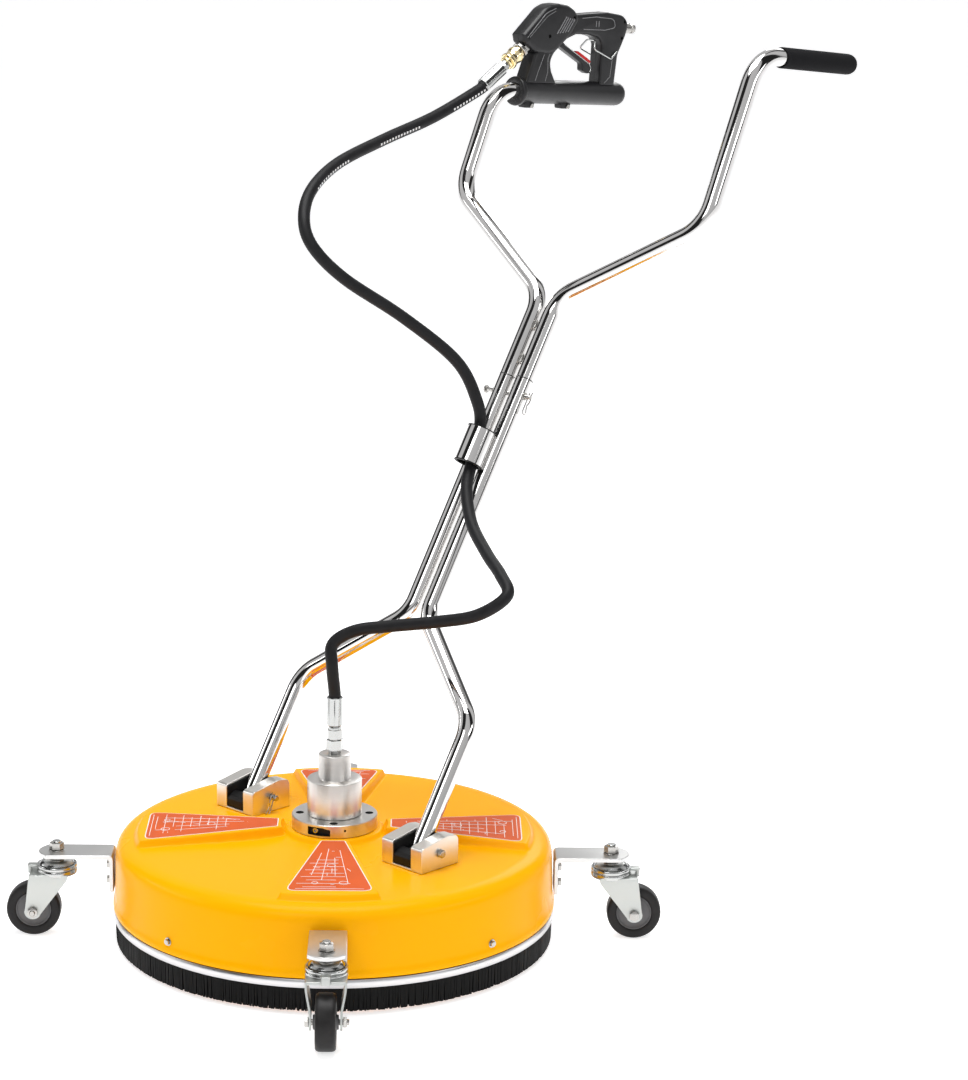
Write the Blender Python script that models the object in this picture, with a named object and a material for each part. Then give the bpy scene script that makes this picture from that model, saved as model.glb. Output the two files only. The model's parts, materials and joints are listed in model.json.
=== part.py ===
"""Four-caster surface cleaner for pressure washing, built as separate named solids.

Metres, +Z up, +Y forward (away from the user), +X to the user's right. The origin is on the floor under
the middle of the whole machine; the deck's own axis stands DECK_Y in front of it. Sizes below are measured
from the deck's axis, and shift_to_row moves every finished solid by DECK_Y.
"""
import bpy
import bmesh
from math import asin, atan2, cos, degrees, pi, radians, sin, sqrt
from mathutils import Matrix, Vector

for old in list(bpy.data.objects):
    bpy.data.objects.remove(old, do_unlink=True)

# ---------------------------------------------------------------- driving dimensions
DECK_Y = 0.2600          # deck axis ahead of the origin
GAP = 0.0003             # clearance between touching pieces
LIP_R = 0.305            # outer radius of the skirt's lip
SKIRT_R = 0.3025         # outer radius of the skirt above the lip
SHOULDER_R = 0.3018
SKIRT_Z = 0.0517         # underside of the skirt
DECK_Z = 0.1475          # flat top of the deck between the bosses
STEP_Z = 0.1587          # top of the round step under the hub
SHELL_T = 0.005
BOSS_TOP_DEG = 13.0      # half angle of a boss across its top
BOSS_FOOT_DEG = 15.5     # half angle at its foot
BOSS_IN_R, BOSS_OUT_R = 0.079, 0.2725
BOSS_IN_Z, BOSS_OUT_Z = 0.1665, 0.160
BRUSH_Z = 0.005          # bristle tips above the floor
WHEEL_R = 0.0375
STEM_R = 0.3832          # caster stems from the deck axis
TRAIL = 0.0326           # axle behind the stem
PLATE_Z = 0.1207         # top of the caster plates
PIVOT_X = 0.167          # middle of each clevis
PIVOT_Z = 0.1694
BLOCK_Z = DECK_Z + GAP
LEAN = radians(31.6)     # handle leant back at rest
UPPER_LEAN = radians(24.6)
DROOP = radians(5.0)     # grips fall slightly towards the user
TUBE_R, TUBE_BORE = 0.0125, 0.0111
PAIR_X = 0.016           # tube axes from the middle where the tubes run together
GRIP_X = 0.2335
V_BEND1, V_BEND2, V_JOINT, V_BEND4, V_BEND5 = 0.180, 0.306, 0.6715, 0.799, 0.9315
SPLAY_OFF = 0.0125       # the grips' feet stand this far in front of the lower tubes' plane
UPRIGHT_GUN, UPRIGHT_FOAM = 0.159, 0.255
GUIDE_V, GUIDE_OFF = 0.553, 0.0305
HOSE_R = 0.0085


# ---------------------------------------------------------------- materials
def material(name, colour, metallic, roughness):
    m = bpy.data.materials.new(name)
    m.use_nodes = True
    shader = m.node_tree.nodes["Principled BSDF"]
    shader.inputs["Base Color"].default_value = (*colour, 1.0)
    shader.inputs["Metallic"].default_value = metallic
    shader.inputs["Roughness"].default_value = roughness
    m.diffuse_color = (*colour, 1.0)
    return m


YELLOW = material("deck_yellow", (0.95, 0.50, 0.02), 0.0, 0.25)
STEEL = material("stainless", (0.62, 0.62, 0.60), 1.0, 0.22)
CHROME = material("polished_steel", (0.80, 0.80, 0.80), 1.0, 0.08)
ALUMINIUM = material("satin_aluminium", (0.72, 0.70, 0.67), 1.0, 0.35)
BRASS = material("brass", (0.80, 0.60, 0.25), 1.0, 0.25)
RUBBER = material("black_rubber", (0.02, 0.02, 0.02), 0.0, 0.6)
TYRE = material("grey_rubber", (0.05, 0.05, 0.05), 0.0, 0.65)
PLASTIC = material("black_plastic", (0.03, 0.03, 0.03), 0.0, 0.45)
RED = material("red_plastic", (0.55, 0.03, 0.02), 0.0, 0.4)
BRISTLE = material("bristle", (0.02, 0.02, 0.02), 0.0, 0.8)


# ---------------------------------------------------------------- solid makers
def solid(name, verts, faces, mat, pivot=(0, 0, 0), smooth=True):
    """A closed mesh object whose origin is at pivot; verts are in the deck's frame."""
    origin = Vector(pivot)
    mesh = bpy.data.meshes.new(name)
    mesh.from_pydata([Vector(v) - origin for v in verts], [], faces)
    bm = bmesh.new()
    bm.from_mesh(mesh)
    bmesh.ops.remove_doubles(bm, verts=bm.verts, dist=1e-6)
    bmesh.ops.recalc_face_normals(bm, faces=bm.faces)
    if bm.calc_volume(signed=True) < 0:
        bmesh.ops.reverse_faces(bm, faces=bm.faces)
    bm.to_mesh(mesh)
    bm.free()
    mesh.materials.append(mat)
    obj = bpy.data.objects.new(name, mesh)
    obj.location = origin + Vector((0, DECK_Y, 0))
    bpy.context.scene.collection.objects.link(obj)
    if smooth:
        mesh.shade_smooth()
        mesh.set_sharp_from_angle(angle=radians(35))
    return obj


def turned(profile, segments, frame=Matrix.Identity(4)):
    """Verts and faces of a profile of (radius, height) turned round the frame's Z axis."""
    rings, verts = [], []
    for r, z in profile:
        if r < 1e-9:
            rings.append([len(verts)])
            verts.append(frame @ Vector((0, 0, z)))
            continue
        rings.append(list(range(len(verts), len(verts) + segments)))
        for k in range(segments):
            a = 2 * pi * k / segments
            verts.append(frame @ Vector((r * cos(a), r * sin(a), z)))
    faces = []
    for lower, upper in zip(rings, rings[1:] + rings[:1]):
        if len(lower) == 1 and len(upper) == 1:
            continue
        for k in range(segments):
            n = (k + 1) % segments
            if len(lower) == 1:
                faces.append((lower[0], upper[n], upper[k]))
            elif len(upper) == 1:
                faces.append((lower[k], lower[n], upper[0]))
            else:
                faces.append((lower[k], lower[n], upper[n], upper[k]))
    return verts, faces


def lathe(name, profile, mat, segments=24, frame=Matrix.Identity(4), pivot=(0, 0, 0)):
    verts, faces = turned(profile, segments, frame)
    return solid(name, verts, faces, mat, pivot)


def prism(name, outline, low, high, frame, mat, pivot=(0, 0, 0), shift=None):
    """An outline in the frame's XY plane drawn out from low to high along its Z.

    shift, where given, returns an extra Z for a point and a side of -1 or 1.
    """
    n = len(outline)
    verts = []
    for side, z in ((-1, low), (1, high)):
        for x, y in outline:
            extra = shift(x, y, side) if shift else 0.0
            verts.append(frame @ Vector((x, y, z + extra)))
    faces = [tuple(range(n)), tuple(range(n, 2 * n))]
    for k in range(n):
        m = (k + 1) % n
        faces.append((k, m, m + n, k + n))
    return solid(name, verts, faces, mat, pivot, smooth=False)


def box(name, low, high, frame, mat, pivot=(0, 0, 0)):
    (x0, y0, z0), (x1, y1, z1) = low, high
    return prism(name, [(x0, y0), (x1, y0), (x1, y1), (x0, y1)], z0, z1, frame, mat, pivot)


def filleted(points, radii, steps=3):
    """A polyline in space with each inner corner replaced by an arc of the given radius."""
    points = [Vector(p) for p in points]
    path = [points[0]]
    for before, corner, after, radius in zip(points, points[1:], points[2:], radii):
        a, b = (before - corner).normalized(), (after - corner).normalized()
        turn = pi - a.angle(b)
        reach = radius * sin(turn / 2) / cos(turn / 2)
        middle = corner + (a + b).normalized() * radius / cos(turn / 2)
        start, end = corner + a * reach - middle, corner + b * reach - middle
        spin = start.cross(end).normalized()
        for k in range(steps + 1):
            path.append(middle + Matrix.Rotation(turn * k / steps, 3, spin) @ start)
    return path + [points[-1]]


def swept(path, radii, segments):
    """Rings of points round a path, carried along it without twist."""
    rings = []
    normal = None
    for k, point in enumerate(path):
        before, after = path[max(k - 1, 0)], path[min(k + 1, len(path) - 1)]
        if (point - before).length < 1e-7:
            before = path[max(k - 2, 0)]
        if (after - point).length < 1e-7:
            after = path[min(k + 2, len(path) - 1)]
        along = (after - before).normalized()
        if normal is None:
            normal = along.orthogonal().normalized()
        normal = (normal - along * normal.dot(along)).normalized()
        across = along.cross(normal)
        r = radii[k]
        turn = [2 * pi * j / segments for j in range(segments)]
        rings.append([point + normal * (r * cos(a)) + across * (r * sin(a)) for a in turn])
    return rings


def rod(name, path, radii, mat, segments=12, pivot=(0, 0, 0)):
    """A solid round bar along a path, with one radius or one for each point."""
    path = [Vector(p) for p in path]
    if not isinstance(radii, (list, tuple)):
        radii = [radii] * len(path)
    rings = swept(path, radii, segments)
    verts = [v for ring in rings for v in ring]
    faces = [tuple(range(segments)), tuple(range(len(verts) - segments, len(verts)))]
    for k in range(len(rings) - 1):
        for j in range(segments):
            m = (j + 1) % segments
            a, b = k * segments, (k + 1) * segments
            faces.append((a + j, a + m, b + m, b + j))
    return solid(name, verts, faces, mat, pivot)


def pipe(name, path, outer, bore, mat, segments=12, pivot=(0, 0, 0)):
    """A hollow tube along a path, open at both ends."""
    path = [Vector(p) for p in path]
    outside = swept(path, outer, segments)
    inside = swept(path, bore, segments)
    loop = outside + inside[::-1]
    verts = [v for ring in loop for v in ring]
    faces = []
    for k in range(len(loop)):
        a, b = k * segments, (k + 1) % len(loop) * segments
        for j in range(segments):
            m = (j + 1) % segments
            faces.append((a + j, a + m, b + m, b + j))
    return solid(name, verts, faces, mat, pivot)


def cutter(obj):
    obj.hide_render = True
    obj.display_type = "WIRE"
    return obj


def combine(obj, tool, operation):
    mod = obj.modifiers.new(operation.title(), "BOOLEAN")
    mod.operation = operation
    mod.solver = "EXACT"
    mod.object = cutter(tool)


def bar_frame(at, along, up=(0, 0, 1)):
    """A frame at a point whose Z runs along a direction and whose X is as near up as it can be."""
    z = Vector(along).normalized()
    if abs(z.dot(Vector(up))) > 0.999:
        up = (1, 0, 0)
    x = (Vector(up) - z * Vector(up).dot(z)).normalized()
    y = z.cross(x)
    return Matrix.Translation(Vector(at)) @ Matrix((x, y, z)).transposed().to_4x4()


def drill(name, at, along, radius, length, segments=16):
    """A cutting cylinder centred on a point."""
    half = length / 2
    profile = [(0, -half), (radius, -half), (radius, half), (0, half)]
    return lathe(name, profile, STEEL, segments, bar_frame(at, along))


# ---------------------------------------------------------------- deck
def boss_z(r):
    part = (r - BOSS_IN_R) / (BOSS_OUT_R - BOSS_IN_R)
    return BOSS_IN_Z + (BOSS_OUT_Z - BOSS_IN_Z) * part


def deck_columns():
    """Azimuths of the deck's grid in degrees, each with whether it lies on a boss."""
    columns = []
    half = [-BOSS_TOP_DEG, 0.0, BOSS_TOP_DEG]
    plain = 5
    step = (90.0 - 2 * BOSS_FOOT_DEG) / plain
    for quarter in range(4):
        middle = 45.0 + 90.0 * quarter
        columns.append((middle - BOSS_FOOT_DEG, False))
        columns += [(middle + a, True) for a in half]
        columns += [(middle + BOSS_FOOT_DEG + step * k, False) for k in range(plain)]
    return columns


def deck_shell():
    """The moulded shell: outer skin from the hub hole out to the lip, then back along the underside."""
    under = DECK_Z - SHELL_T
    skin = [
        (0.0180, STEP_Z, 0), (0.0655, STEP_Z, 0), (0.0700, 0.1500, 0), (0.0740, DECK_Z, 0),
        (BOSS_IN_R, DECK_Z, 1), (BOSS_OUT_R, DECK_Z, 1), (0.2790, DECK_Z - 0.0005, 0),
        (0.2900, 0.1440, 0), (0.2985, 0.1360, 0), (SHOULDER_R, 0.1240, 0), (SKIRT_R, 0.0700, 0),
        (LIP_R, 0.0600, 0), (LIP_R, SKIRT_Z, 0), (0.3000, SKIRT_Z, 0), (0.2970, 0.0650, 0),
        (0.2960, 0.1240, 0), (0.2900, 0.1350, 0), (0.2750, under, 0), (0.2670, under, 2),
        (0.0840, under, 2), (0.0760, under, 0), (0.0660, 0.1480, 0), (0.0180, 0.1535, 0),
    ]
    columns = deck_columns()
    verts = []
    for r, z, kind in skin:
        for deg, on_boss in columns:
            height = z
            if kind and on_boss:
                height = boss_z(r) - (SHELL_T if kind == 2 else 0.0)
            verts.append((r * cos(radians(deg)), r * sin(radians(deg)), height))
    n = len(columns)
    faces = []
    for k in range(len(skin)):
        a, b = k * n, (k + 1) % len(skin) * n
        for j in range(n):
            m = (j + 1) % n
            faces.append((a + j, a + m, b + m, b + j))
    return solid("deck_shell", verts, faces, YELLOW)


deck_shell()
lathe("brush_band", [(0.3028, 0.0385), (0.3045, 0.0385), (0.3045, 0.0503), (0.3028, 0.0503)],
      STEEL, 40)
lathe("brush_skirt", [(0.2880, BRUSH_Z), (0.3010, BRUSH_Z), (0.3025, 0.0503), (0.2940, 0.0503),
                      (0.2940, 0.0620), (0.2900, 0.0620)], BRISTLE, 40)

# ---------------------------------------------------------------- hub and rotor
FLANGE_R, FLANGE_Z = 0.059, STEP_Z + GAP
FLANGE_TOP = 0.1775
WINDOW_DEG = 114.5
flange = lathe("hub_flange", [(0.0213, FLANGE_Z), (FLANGE_R - 0.001, FLANGE_Z), (FLANGE_R, FLANGE_Z + 0.001),
                              (FLANGE_R, FLANGE_TOP - 0.001), (FLANGE_R - 0.001, FLANGE_TOP),
                              (0.0213, FLANGE_TOP)], ALUMINIUM, 32)
window = Matrix.Rotation(radians(WINDOW_DEG), 4, "Z")
combine(flange, box("window_cut", (0.046, -0.0165, 0.1625), (0.070, 0.0165, 0.1742), window, ALUMINIUM),
        "DIFFERENCE")

HOUSING_R, NECK_R, NECK_TOP = 0.0375, 0.0222, 0.2635
lathe("hub_housing", [(0.0213, FLANGE_TOP + GAP), (HOUSING_R, FLANGE_TOP + GAP), (HOUSING_R, 0.2268),
                      (HOUSING_R - 0.0015, 0.2284), (NECK_R, 0.2284), (NECK_R, NECK_TOP - 0.001),
                      (NECK_R - 0.001, NECK_TOP), (0.0068, NECK_TOP), (0.0068, 0.2292), (0.0140, 0.2292),
                      (0.0140, 0.2192), (0.0213, 0.2192)], ALUMINIUM, 24)
for where, low in (("lower", 0.1606), ("upper", 0.2045)):
    lathe("bearing_" + where, [(0.0103, low), (0.0210, low), (0.0210, low + 0.0142), (0.0103, low + 0.0142)],
          STEEL, 20)
lathe("shaft_seal", [(0.0083, 0.2200), (0.0137, 0.2200), (0.0137, 0.2288), (0.0083, 0.2288)], RUBBER, 16)

HEAD_R, HEAD_LOW, HEAD_TOP, ARM_Z = 0.022, 0.070, 0.096, 0.083
lathe("rotor_shaft", [(0.0040, 0.0715), (0.0100, 0.0715), (0.0100, 0.1480), (0.0135, 0.1480), (0.0135, 0.1602),
                      (0.0100, 0.1602), (0.0100, 0.2192), (0.0080, 0.2192), (0.0080, 0.2286),
                      (0.0040, 0.2286)], STEEL, 16)
head = lathe("rotor_head", [(0.0103, HEAD_LOW), (HEAD_R - 0.001, HEAD_LOW), (HEAD_R, HEAD_LOW + 0.001),
                            (HEAD_R, HEAD_TOP - 0.001), (HEAD_R - 0.001, HEAD_TOP), (0.0103, HEAD_TOP)],
             BRASS, 20)
ARM_R, ARM_REACH = 0.006, 0.256
for sign, tag in ((1, "a"), (-1, "b")):
    combine(head, drill("arm_hole_" + tag, (sign * 0.021, 0, ARM_Z), (1, 0, 0), ARM_R + GAP, 0.016), "DIFFERENCE")
    reach = filleted([(sign * 0.0135, 0, ARM_Z), (sign * ARM_REACH, 0, ARM_Z),
                      (sign * 0.262, -sign * 0.008, 0.064)], [0.012], 4)
    rod("spray_arm_" + tag, reach, ARM_R, STEEL, 12)
    down = (reach[-1] - reach[-2]).normalized()
    tip = bar_frame(reach[-1] + down * GAP, down, (1, 0, 0))
    lathe("nozzle_" + tag, [(0, 0), (0.0078, 0), (0.0078, 0.0100), (0.0055, 0.0130), (0.0055, 0.0165),
                            (0.0020, 0.0165), (0.0015, 0.0140), (0, 0.0140)], STEEL, 12, tip)

# ---------------------------------------------------------------- casters
PLATE_T, PLATE_HALF = 0.0055, 0.0245
PLATE_END = 0.408


def plan_outline():
    """The plate seen from above, with a bowed outer end."""
    bow = [(PLATE_END - 0.012 * (k / 4) ** 2, PLATE_HALF * k / 4) for k in range(-4, 5)]
    return [(0.300, -PLATE_HALF)] + bow + [(0.300, PLATE_HALF)]


def fork_flare(x, y, side):
    """Side plates lean outwards towards the race."""
    return max(0.0, y - 0.0480) / 0.0420 * 0.0055 * fork_flare.outward


def caster(tag, deg):
    turn = Matrix.Rotation(radians(deg), 4, "Z")
    stem = turn @ Vector((STEM_R, 0, 0))
    at_stem = Matrix.Translation(stem) @ Matrix.Rotation(radians(deg), 4, "Z")
    low = PLATE_Z - PLATE_T
    side = turn @ Matrix(((1, 0, 0, 0), (0, 0, -1, 0), (0, 1, 0, 0), (0, 0, 0, 1)))
    bend = [(0.3036, 0.068), (0.3091, 0.068), (0.3091, low), (0.42, low), (0.42, PLATE_Z), (0.3036, PLATE_Z)]
    plate = prism("caster_bracket_" + tag, bend, -PLATE_HALF, PLATE_HALF, side, STEEL)
    combine(plate, prism("plan_" + tag, plan_outline(), 0.05, 0.13, turn, STEEL), "INTERSECT")
    combine(plate, drill("stem_hole_" + tag, stem + Vector((0, 0, low)), (0, 0, 1), 0.0063, 0.03), "DIFFERENCE")

    lathe("caster_stem_" + tag, [(0, 0.0850), (0.0085, 0.0850), (0.0085, 0.0878), (0.0060, 0.0878),
                                 (0.0060, 0.1003), (0.0235, 0.1003), (0.0235, 0.1040), (0.0190, 0.1085),
                                 (0.0105, 0.1085), (0.0105, low - GAP), (0.0060, low - GAP), (0.0060, 0.1360),
                                 (0, 0.1360)], STEEL, 16, at_stem)

    pivot = stem + Vector((0, 0, 0.0882))
    fork = lathe("caster_fork_" + tag, [(0, 0.0882), (0.0280, 0.0882), (0.0280, 0.1020), (0.0248, 0.1020),
                                        (0.0248, 0.0998), (0, 0.0998)], CHROME, 12, at_stem, pivot)
    top = box("fork_top_" + tag, (-0.016, -0.0275, 0.0883), (0.0365, 0.0275, 0.0918), at_stem, CHROME)
    combine(fork, top, "UNION")
    cheek = [(-0.0160, 0.0900), (0.0365, 0.0900), (0.0400, 0.0500), (0.0412, 0.0400), (0.0395, 0.0325),
             (0.0326, 0.0275), (0.0250, 0.0300), (0.0105, 0.0430), (-0.0160, 0.0850)]
    stand = at_stem @ Matrix(((1, 0, 0, 0), (0, 0, -1, 0), (0, 1, 0, 0), (0, 0, 0, 1)))
    for name, direction, inner, outer in (("l", 1, 0.0185, 0.0215), ("r", -1, -0.0215, -0.0185)):
        fork_flare.outward = direction
        combine(fork, prism("cheek_" + name + tag, cheek, inner, outer, stand, CHROME, shift=fork_flare), "UNION")
    combine(fork, box("fork_tab_" + tag, (0.0250, -0.006, 0.0890), (0.0405, 0.006, 0.1010), at_stem, CHROME),
            "UNION")
    combine(fork, drill("kingpin_hole_" + tag, stem + Vector((0, 0, 0.09)), (0, 0, 1), 0.0066, 0.03, 12),
            "DIFFERENCE")
    axle = at_stem @ Vector((TRAIL, 0, WHEEL_R))
    across = at_stem.to_3x3() @ Vector((0, 1, 0))
    combine(fork, drill("axle_hole_" + tag, axle, across, 0.0047, 0.07, 8), "DIFFERENCE")

    spin = bar_frame(axle, across)
    lathe("caster_axle_" + tag, [(0, -0.0290), (0.0060, -0.0290), (0.0078, -0.0270), (0.0078, -0.0230),
                                 (0.0040, -0.0230), (0.0040, 0.0230), (0.0078, 0.0230), (0.0078, 0.0268),
                                 (0.0040, 0.0268), (0.0040, 0.0300), (0, 0.0300)], STEEL, 8, spin, axle)
    half = [(0.0043, 0.0165), (0.0100, 0.0165), (0.0120, 0.0090), (0.0215, 0.0090), (0.0240, 0.0132),
            (0.0345, 0.0130), (WHEEL_R, 0.0085)]
    tread = [(r, -s) for r, s in half] + half[::-1]
    lathe("caster_wheel_" + tag, tread, TYRE, 16, spin, axle)


for tag, deg in (("fl", 135), ("fr", 45), ("rr", -45), ("rl", -135)):
    caster(tag, deg)

# ---------------------------------------------------------------- handle mounts
BLOCK_HALF_X, CHANNEL_HALF = 0.038, 0.017
ACROSS = Matrix(((0, 0, 1, 0), (1, 0, 0, 0), (0, 1, 0, 0), (0, 0, 0, 1)))  # outline (y, z) drawn along X


def mount(tag, sign):
    middle = sign * PIVOT_X
    frame = Matrix.Translation((middle, 0, BLOCK_Z)) @ ACROSS
    shape = [(-0.0350, 0.0), (0.0350, 0.0), (0.0350, 0.0245), (0.0310, 0.0300), (0.0190, 0.0360),
             (-0.0200, 0.0400), (-0.0290, 0.0385), (-0.0350, 0.0320)]
    block = prism("clevis_block_" + tag, shape, -BLOCK_HALF_X, BLOCK_HALF_X, frame, ALUMINIUM)
    channel = box("channel_" + tag, (-0.05, 0.003, -CHANNEL_HALF), (0.05, 0.06, CHANNEL_HALF), frame, ALUMINIUM)
    combine(block, channel, "DIFFERENCE")
    pin_at = Vector((middle, 0, PIVOT_Z))
    combine(block, drill("pin_hole_" + tag, pin_at, (1, 0, 0), 0.0043, 0.12), "DIFFERENCE")
    pad = [(0.0345, 0.0033), (0.0345, 0.0215), (0.0300, 0.0290), (0.0215, 0.0325), (0.0165, 0.0325),
           (0.0165, 0.0100), (0.0120, 0.0056), (-0.0120, 0.0056), (-0.0165, 0.0100), (-0.0165, 0.0210),
           (-0.0160, 0.0232), (-0.0226, 0.0340), (-0.0300, 0.0350), (-0.0345, 0.0300), (-0.0345, 0.0033)]
    edge = CHANNEL_HALF - GAP
    prism("clevis_pad_" + tag, pad, -edge, edge, frame, RUBBER)
    outward = bar_frame(pin_at, (sign, 0, 0))
    lathe("pivot_pin_" + tag, [(0, -0.0500), (0.0030, -0.0500), (0.0040, -0.0490), (0.0040, 0.0384),
                               (0.0065, 0.0384), (0.0065, 0.0405), (0.0050, 0.0415), (0, 0.0415)],
          STEEL, 12, outward)


mount("right", 1)
mount("left", -1)

# ---------------------------------------------------------------- handle tubes
UP = Vector((0, -sin(LEAN), cos(LEAN)))
FRONT = Vector((0, cos(LEAN), sin(LEAN)))
PIVOT = Vector((0, 0, PIVOT_Z))
BACK = Vector((0, -cos(DROOP), -sin(DROOP)))
GRIP_UP = Vector((0, -sin(DROOP), cos(DROOP)))


def on_handle(x, v, off=0.0):
    return PIVOT + Vector((x, 0, 0)) + UP * v + FRONT * off


def elbow(sign, upright):
    """Where a tube turns back into its grip."""
    foot = on_handle(sign * GRIP_X, V_BEND5, SPLAY_OFF)
    return foot + Vector((0, -sin(UPPER_LEAN), cos(UPPER_LEAN))) * upright


TUBE_END = 0.009
SPIGOT_V, PIN_V = 0.630, 0.647
for tag, sign, upright, grip_length in (("right", 1, UPRIGHT_GUN, 0.263), ("left", -1, UPRIGHT_FOAM, 0.203)):
    lower = filleted([on_handle(sign * PIVOT_X, -TUBE_END), on_handle(sign * PIVOT_X, V_BEND1),
                      on_handle(sign * PAIR_X, V_BEND2), on_handle(sign * PAIR_X, V_JOINT - GAP)],
                     [0.055, 0.045])
    tube = pipe("lower_tube_" + tag, lower, [TUBE_R] * len(lower), [TUBE_BORE] * len(lower), CHROME,
                pivot=PIVOT)
    combine(tube, drill("lower_pin_hole_" + tag, on_handle(sign * PIVOT_X, 0), (1, 0, 0), 0.0044, 0.05, 12),
            "DIFFERENCE")
    bend = elbow(sign, upright)
    upper = filleted([on_handle(sign * PAIR_X, V_JOINT), on_handle(sign * PAIR_X, V_BEND4),
                      on_handle(sign * GRIP_X, V_BEND5, SPLAY_OFF), bend, bend + BACK * grip_length],
                     [0.050, 0.060, 0.055])
    spigot = [on_handle(sign * PAIR_X, SPIGOT_V), on_handle(sign * PAIR_X, V_JOINT)]
    path = spigot + upper
    outer = [TUBE_BORE - GAP] * 2 + [TUBE_R] * len(upper)
    bore = [TUBE_BORE - 0.0016] * 2 + [TUBE_BORE - 0.0016] * len(upper)
    top = pipe("upper_tube_" + tag, path, outer, bore, CHROME, pivot=PIVOT)
    for part, name in ((tube, "lower"), (top, "upper")):
        combine(part, drill("joint_hole_" + name + tag, on_handle(sign * PAIR_X, PIN_V), (1, 0, 0), 0.0034,
                            0.030, 10), "DIFFERENCE")

lathe("joint_pin", [(0, -0.0400), (0.0024, -0.0400), (0.0030, -0.0390), (0.0030, 0.0440), (0.0052, 0.0440),
                    (0.0052, 0.0465), (0, 0.0465)], STEEL, 12, bar_frame(on_handle(0, PIN_V), (1, 0, 0)), PIVOT)
GUIDE_R = 0.0213
lathe("hose_guide", [(GUIDE_R - 0.0015, -0.0255), (GUIDE_R, -0.0255), (GUIDE_R, 0.0255),
                     (GUIDE_R - 0.0015, 0.0255)], CHROME, 28, bar_frame(on_handle(0, GUIDE_V, GUIDE_OFF), UP), PIVOT)

FOAM_R, SLEEVE_R = 0.0148, 0.018
foam_at = bar_frame(elbow(-1, UPRIGHT_FOAM), BACK)
lathe("foam_grip", [(TUBE_R + GAP, 0.050), (FOAM_R, 0.050), (FOAM_R, 0.2035), (FOAM_R - 0.003, 0.2085),
                    (0, 0.2105), (0, 0.2035), (TUBE_R + GAP, 0.2035)], RUBBER, 20, foam_at, PIVOT)

# ---------------------------------------------------------------- trigger gun
# b runs back along the right-hand grip from the mouth of the clamp sleeve, h up from its axis.
MOUTH = elbow(1, UPRIGHT_GUN) + BACK * 0.048


def in_gun(b, h, x=0.0):
    return MOUTH + BACK * b + GRIP_UP * h + Vector((x, 0, 0))


GUN = Matrix((BACK, GRIP_UP, BACK.cross(GRIP_UP))).transposed().to_4x4()
GUN.translation = MOUTH
SLEEVE_END = 0.229
sleeve = lathe("gun_sleeve", [(TUBE_R + GAP, -0.006), (0.0210, -0.006), (0.0218, -0.003), (0.0210, 0.004),
                              (SLEEVE_R, 0.005), (SLEEVE_R, 0.220), (0.0145, SLEEVE_END), (0, SLEEVE_END + 0.002),
                              (0, 0.2170), (TUBE_R + GAP, 0.2170)], PLASTIC, 20, bar_frame(MOUTH, BACK), PIVOT)
for name, b in (("front", 0.010), ("rear", 0.090)):
    lug = box("lug_" + name, (b, -0.0240, -0.007), (b + 0.024, -0.0150, 0.007), GUN, PLASTIC)
    combine(sleeve, lug, "UNION")

ARCH = [
    (0.0055, 0.0120), (0.022, 0.058), (0.048, 0.080), (0.090, 0.115), (0.125, 0.1185), (0.178, 0.1230),
    (0.2129, 0.1198), (0.2258, 0.1080), (0.2211, 0.0898), (0.2138, 0.0744), (0.2063, 0.0600),
    (0.2030, 0.0120), (0.1700, 0.0120), (0.1690, 0.0740), (0.1610, 0.0840), (0.1370, 0.0880),
    (0.1100, 0.0875), (0.0900, 0.0800), (0.0620, 0.0570), (0.0560, 0.0450), (0.0600, 0.0320), (0.0730, 0.0120),
]
HEAD = [
    (-0.0170, 0.0838), (0.0325, 0.1280), (0.0500, 0.1345), (0.0665, 0.1367), (0.0880, 0.1345),
    (0.1032, 0.1278), (0.1113, 0.1160), (0.1100, 0.1060), (0.0967, 0.0874), (0.0640, 0.0590),
    (0.0480, 0.0560), (0.0220, 0.0580), (-0.0026, 0.0710),
]
SLOT = [(0.056, 0.052), (0.106, 0.052), (0.116, 0.0780), (0.106, 0.0905), (0.060, 0.0905)]
OUTLET = Vector((0.0128, 0.0685))         # where the outlet leaves the head
OUTLET_DIR = Vector((-0.809, -0.588))     # its direction in (b, h)
INLET_B, INLET_H = 0.2477, 0.0998
TRIGGER_PIVOT = (0.070, 0.078)
TRIGGER_SLANT = radians(-24.7)
ARCH_HALF, HEAD_HALF, SLOT_HALF = 0.0135, 0.0190, 0.0064


away = BACK * OUTLET_DIR.x + GRIP_UP * OUTLET_DIR.y


def outlet(t):
    p = OUTLET + OUTLET_DIR * t
    return in_gun(p.x, p.y)


def water_path():
    return filleted([outlet(0.010), in_gun(0.062, 0.1043), in_gun(INLET_B, INLET_H)], [0.020], 4)


def valve_radii(path, grow=0.0):
    """Stub, wide valve chamber, thin tube along the arm, wider inlet end."""
    radii = []
    for p in path:
        b = (p - MOUTH).dot(BACK)
        radii.append((0.0120 if 0.018 < b < 0.058 else 0.0065) + grow)
    return radii


def valve_rod(name, grow):
    path = water_path()
    line = (path[1] - path[0]).normalized()
    start = [path[0], path[0] + line * 0.0180, path[0] + line * 0.0185]
    body = path[1:]
    points = start + body + []
    radii = [0.0060 + grow, 0.0060 + grow, 0.0120 + grow] + [0.0120 + grow] + [0.0065 + grow] * (len(body) - 1)
    back = in_gun(0.2270, INLET_H)
    radii = radii[:-1] + [0.0065 + grow, 0.0080 + grow, 0.0080 + grow]
    points = points[:-1] + [back, back + BACK * 0.0005, in_gun(INLET_B, INLET_H)]
    return rod(name, points, radii, STEEL, 12, PIVOT)


valve = valve_rod("gun_valve", 0.0)
combine(valve, drill("inlet_bore", in_gun(INLET_B, INLET_H), BACK, 0.0048, 0.028, 12), "DIFFERENCE")

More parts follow.
